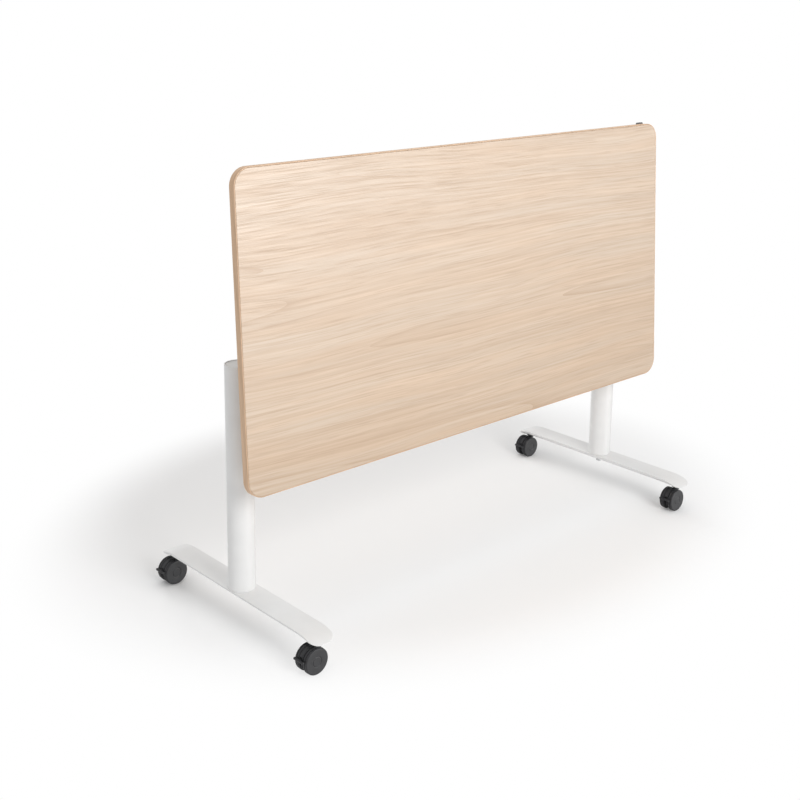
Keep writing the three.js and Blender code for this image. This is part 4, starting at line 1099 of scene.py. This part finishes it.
def wheel_mesh(outward):
    """A wheel with a rounded tread, a groove, and a pressed-on cover with a ring sunk round its middle."""
    profile = eased([
        (0, WHEEL_BORE_DEPTH), (WHEEL_BORE, WHEEL_BORE_DEPTH), (WHEEL_BORE, 0), (WHEEL_RADIUS - 3.2, 0),
        (WHEEL_RADIUS - 0.6, 1.4), (WHEEL_RADIUS, 2.8), (WHEEL_RADIUS, 5.8), (28.2, 6.6), (28.2, 8.2), (29.6, 8.6),
        (29.6, WHEEL_WIDTH - 1.6), (27.6, WHEEL_WIDTH), (12.4, WHEEL_WIDTH - 0.3), (11.7, WHEEL_WIDTH - 1.1),
        (10.5, WHEEL_WIDTH - 1.1), (9.8, WHEEL_WIDTH - 0.3), (0, WHEEL_WIDTH - 0.2),
    ], 0.5, steps=3)
    wheel = placed(turned(profile, segments=72), ALONG_Y)
    wheel.transform(Matrix.Translation((0, WHEEL_INSIDE * MM, 0)))
    if outward < 0:
        wheel.transform(Matrix.Rotation(math.pi, 4, "X"))
    return placed(wheel, at=(AXLE[0], 0, AXLE[1]))


def hood_mesh():
    """Two cheeks and a core that leaves the brake's slot open between them, under a neck cut to clear the wheels."""
    start, end = -HOOD_CHORD, math.pi + HOOD_CHORD
    steps = 48
    cover = [Vector((AXLE[0] + WHEEL_RADIUS * math.cos(start + (end - start) * k / steps),
                     AXLE[1] + WHEEL_RADIUS * math.sin(start + (end - start) * k / steps)))
             for k in range(steps + 1)]
    cheek_bores = [circle(*AXLE, WHEEL_BORE), circle(*BRAKE_PIVOT, BRAKE_BORE, steps=24)]
    cheek = upright_plate(cover, cheek_bores, HOOD_SLOT_HALF, HOOD_HALF, HOOD_ROUNDING)
    other = placed(cheek.copy(), Matrix.Scale(-1, 4, (0, 1, 0)))
    core = [point for point in cover if point.y > HOOD_SLOT_TOP or point.x > HOOD_SLOT_END]
    reach = math.sqrt(WHEEL_RADIUS ** 2 - (HOOD_SLOT_TOP - AXLE[1]) ** 2)
    slot = [Vector((AXLE[0] - reach, HOOD_SLOT_TOP)), Vector((HOOD_SLOT_END, HOOD_SLOT_TOP)),
            Vector((HOOD_SLOT_END, cover[-1].y))]
    middle = upright_plate(core + slot, [circle(*AXLE, WHEEL_BORE)], -HOOD_SLOT_HALF - 0.2, HOOD_SLOT_HALF + 0.2, 0.1)
    neck = turned(eased([
        (NECK_BORE, 0), (NECK_RADIUS, 0), (NECK_RADIUS, NECK_TOP), (NECK_BORE, NECK_TOP),
    ], 0.6, closed=True))
    for vertex in neck.vertices:
        if vertex.co.z < NECK_TOP * MM / 2:
            run = NECK_FROM_AXLE * MM - (vertex.co.x - AXLE[0] * MM) * math.cos(NECK_LEAN)
            vertex.co.z += AXLE[1] * MM + run / math.sin(NECK_LEAN)
    post = turned(eased([
        (NECK_BORE, STEM_BOTTOM - 0.3), (HOOD_HALF, STEM_BOTTOM - 0.3), (HOOD_HALF, NECK_TOP - 0.5),
        (NECK_BORE, NECK_TOP - 0.5),
    ], 0.4, closed=True))
    return joined(cheek, other, middle, neck, post)


def brake_mesh():
    """An arm on its pivot with a grooved bar across its end."""
    arm = upright_plate(band_round([(*BRAKE_PIVOT, BRAKE_BOSS), (*BRAKE_BAR, BRAKE_BAR_RADIUS - 0.3)]), [],
                        -BRAKE_HALF, BRAKE_HALF, 0.8)
    edge, groove = BRAKE_BAR_RADIUS, BRAKE_BAR_RADIUS - 0.4
    profile = [(0, -BRAKE_BAR_HALF), (edge - 1, -BRAKE_BAR_HALF), (edge, 1 - BRAKE_BAR_HALF)]
    for number in range(BRAKE_GRIPS):
        middle = (number - (BRAKE_GRIPS - 1) / 2) * 4
        profile += [(edge, middle - 0.7), (groove, middle - 0.3), (groove, middle + 0.3), (edge, middle + 0.7)]
    profile += [(edge, BRAKE_BAR_HALF - 1), (edge - 1, BRAKE_BAR_HALF), (0, BRAKE_BAR_HALF)]
    bar = placed(turned(eased(profile, 0.3, steps=2), segments=32), ALONG_Y, (BRAKE_BAR[0], 0, BRAKE_BAR[1]))
    pin = turned(eased([
        (0, -BRAKE_PIVOT_HALF), (BRAKE_PIVOT_RADIUS, -BRAKE_PIVOT_HALF),
        (BRAKE_PIVOT_RADIUS, BRAKE_PIVOT_HALF), (0, BRAKE_PIVOT_HALF),
    ], 0.5), segments=24)
    return joined(arm, bar, placed(pin, ALONG_Y, (BRAKE_PIVOT[0], 0, BRAKE_PIVOT[1])))


for end_name, end in (("front", -1), ("rear", 1)):
    for side_name, side in SIDES.items():
        here = (side * COLUMN_X, end * CASTER_Y, 0)
        title = f"{end_name}_{side_name}_caster"
        node = f"caster_{end_name}_{side_name}"
        stem = turned(eased([
            (0, STEM_BOTTOM), (STEM_RADIUS, STEM_BOTTOM), (STEM_RADIUS, COLLAR_BOTTOM),
            (COLLAR_RADIUS, COLLAR_BOTTOM), (COLLAR_RADIUS, COLLAR_TOP), (STUD_RADIUS, COLLAR_TOP),
            (STUD_RADIUS, STUD_TOP), (0, STUD_TOP),
        ], 0.7))
        add_piece(f"{title}_stem", placed(stem, at=here), ZINC, "base_frame", "zinc_steel", f"{node}_stem")
        add_piece(f"{title}_hood", placed(hood_mesh(), at=here), CHARCOAL, node,
                  "charcoal_plastic", f"{node}_hood")
        axle = turned(eased([
            (0, -AXLE_HALF), (AXLE_RADIUS, -AXLE_HALF), (AXLE_RADIUS, AXLE_HALF), (0, AXLE_HALF),
        ], 0.6), segments=32)
        at_axle = (here[0] + AXLE[0], here[1], AXLE[1])
        add_piece(f"{title}_axle", placed(axle, ALONG_Y, at_axle), ZINC, node, "zinc_steel", f"{node}_axle")
        for wheel_name, outward in (("outer", end), ("inner", -end)):
            add_piece(f"{title}_{wheel_name}_wheel", placed(wheel_mesh(outward), at=here), CHARCOAL,
                      f"{node}_wheel_{wheel_name}", "charcoal_plastic", f"{node}_wheel_{wheel_name}")
        add_piece(f"{title}_brake_lever", placed(brake_mesh(), at=here), CHARCOAL,
                  f"{node}_brake", "charcoal_plastic", f"{node}_brake")

# Studio: a wide pale floor that runs out to white, soft lamps from the front and above, white all round.
FLOOR_RADIUS = 12
FLOOR_MIDDLE = (0.1, 0.25, 0.0)
FLOOR_SPREAD = (0.9, 0.72, 1.0)
FLOOR_FADE = (0.85, 1.25)
FLOOR_LIFT = 0.07
FLOOR_COLOUR = (0.92, 0.92, 0.92)
AMBIENT = 0.55
LAMPS = (
    ("front_lamp", (-0.6, -4.2, 2.6), (2.1, 2.1), 106, True, False),
    ("top_lamp", (0.0, 0.6, 3.6), (2.6, 2.6), 14, True, False),
    ("rear_lamp", (0.9, 4.2, 0.9), (1.4, 1.4), 55, True, False),
    ("left_sheen_strip", (5.0, -12.0, 0.36), (5.0, 0.7), 1500, False, True),
    ("right_sheen_strip", (12.5, -12.0, 0.36), (6.0, 0.7), 550, False, True),
)
LAMP_AIM = Vector((0, 0, 0.6))
CAMERA_AT = (-2.110495, -2.128099, 1.402195)
CAMERA_RIGHT = (0.7391645, -0.6734493, 0.0100942)
CAMERA_UP = (0.1319669, 0.1595082, 0.9783363)
CAMERA_BACK = (-0.6604700, -0.7218193, 0.2067758)
CAMERA_LENS = 55.8807
CAMERA_SHIFT_Y = -0.1875


def floor_material():
    """Matt white that takes shadows near the table and shines plain white to the camera farther out."""
    material, tree, shader = new_material("studio_floor")
    place = add_node(tree, "ShaderNodeTexCoord").outputs["Object"]
    offset = add_node(tree, "ShaderNodeVectorMath", {0: place, 1: FLOOR_MIDDLE}, operation="SUBTRACT").outputs[0]
    spread = add_node(tree, "ShaderNodeVectorMath", {0: offset, 1: FLOOR_SPREAD}, operation="DIVIDE").outputs[0]
    far = add_node(tree, "ShaderNodeVectorMath", {0: spread}, operation="LENGTH").outputs["Value"]
    grain = add_node(tree, "ShaderNodeTexNoise", {"Vector": place, "Scale": 1.5, "Detail": 2.0})
    pale = add_node(tree, "ShaderNodeMix", {
        "Factor": grain.outputs["Fac"], "A": (*FLOOR_COLOUR, 1), "B": (*(0.99 * c for c in FLOOR_COLOUR), 1),
    }, data_type="RGBA")
    tree.links.new(pale.outputs["Result"], shader.inputs["Base Color"])
    shader.inputs["Roughness"].default_value = 0.9
    shader.inputs["Specular IOR Level"].default_value = 0.1
    fade = add_node(tree, "ShaderNodeMapRange", {
        "Value": far, "From Min": FLOOR_FADE[0], "From Max": FLOOR_FADE[1],
    }, interpolation_type="SMOOTHSTEP").outputs["Result"]
    rays = add_node(tree, "ShaderNodeLightPath").outputs
    seen = math_node(tree, "MAXIMUM", rays["Is Camera Ray"],
                     math_node(tree, "MAXIMUM", rays["Is Glossy Ray"], rays["Is Transmission Ray"]))
    lift = add_node(tree, "ShaderNodeEmission", {"Strength": math_node(tree, "MULTIPLY", seen, FLOOR_LIFT)})
    lifted = add_node(tree, "ShaderNodeAddShader", {0: shader.outputs["BSDF"], 1: lift.outputs["Emission"]})
    glow = add_node(tree, "ShaderNodeEmission")
    mixed = add_node(tree, "ShaderNodeMixShader", {
        0: math_node(tree, "MULTIPLY", fade, seen), 1: lifted.outputs["Shader"], 2: glow.outputs["Emission"],
    })
    tree.links.new(mixed.outputs["Shader"], tree.nodes["Material Output"].inputs["Surface"])
    return material


floor_mesh = bpy.data.meshes.new("studio_floor")
floor_mesh.from_pydata([
    (FLOOR_RADIUS * math.cos(2 * math.pi * k / 96), FLOOR_RADIUS * math.sin(2 * math.pi * k / 96), 0)
    for k in range(96)
], [], [tuple(range(96))])
floor_mesh.materials.append(floor_material())
floor = bpy.data.objects.new("studio_floor", floor_mesh)
bpy.context.scene.collection.objects.link(floor)

world = bpy.data.worlds.new("studio_white")
world.use_nodes = True
bpy.context.scene.world = world
sky = world.node_tree
rays = add_node(sky, "ShaderNodeLightPath").outputs
seen_white = math_node(sky, "MAXIMUM", rays["Is Camera Ray"],
                       math_node(sky, "MAXIMUM", rays["Is Glossy Ray"], rays["Is Transmission Ray"]))
background = sky.nodes["Background"]
background.inputs["Color"].default_value = (1, 1, 1, 1)
level = add_node(sky, "ShaderNodeMapRange", {"Value": seen_white, "To Min": AMBIENT, "To Max": 1.0})
sky.links.new(level.outputs["Result"], background.inputs["Strength"])

for lamp_name, lamp_at, lamp_size, lamp_power, lights_matt, shows_in_gloss in LAMPS:
    light = bpy.data.lights.new(lamp_name, "AREA")
    light.shape = "RECTANGLE"
    light.size, light.size_y = lamp_size
    light.energy = lamp_power
    lamp = bpy.data.objects.new(lamp_name, light)
    lamp.location = lamp_at
    lamp.rotation_euler = (LAMP_AIM - Vector(lamp_at)).to_track_quat("-Z", "Y").to_euler()
    bpy.context.scene.collection.objects.link(lamp)
    lamp.visible_camera = False
    lamp.visible_diffuse = lights_matt
    lamp.visible_glossy = shows_in_gloss

camera_data = bpy.data.cameras.new("studio_camera")
camera_data.lens = CAMERA_LENS
camera_data.shift_y = CAMERA_SHIFT_Y
camera = bpy.data.objects.new("studio_camera", camera_data)
camera.matrix_world = Matrix.Translation(CAMERA_AT) @ Matrix(
    (CAMERA_RIGHT, CAMERA_UP, CAMERA_BACK)).transposed().to_4x4()
bpy.context.scene.collection.objects.link(camera)
bpy.context.scene.camera = camera
bpy.context.scene.view_settings.view_transform = "Standard"
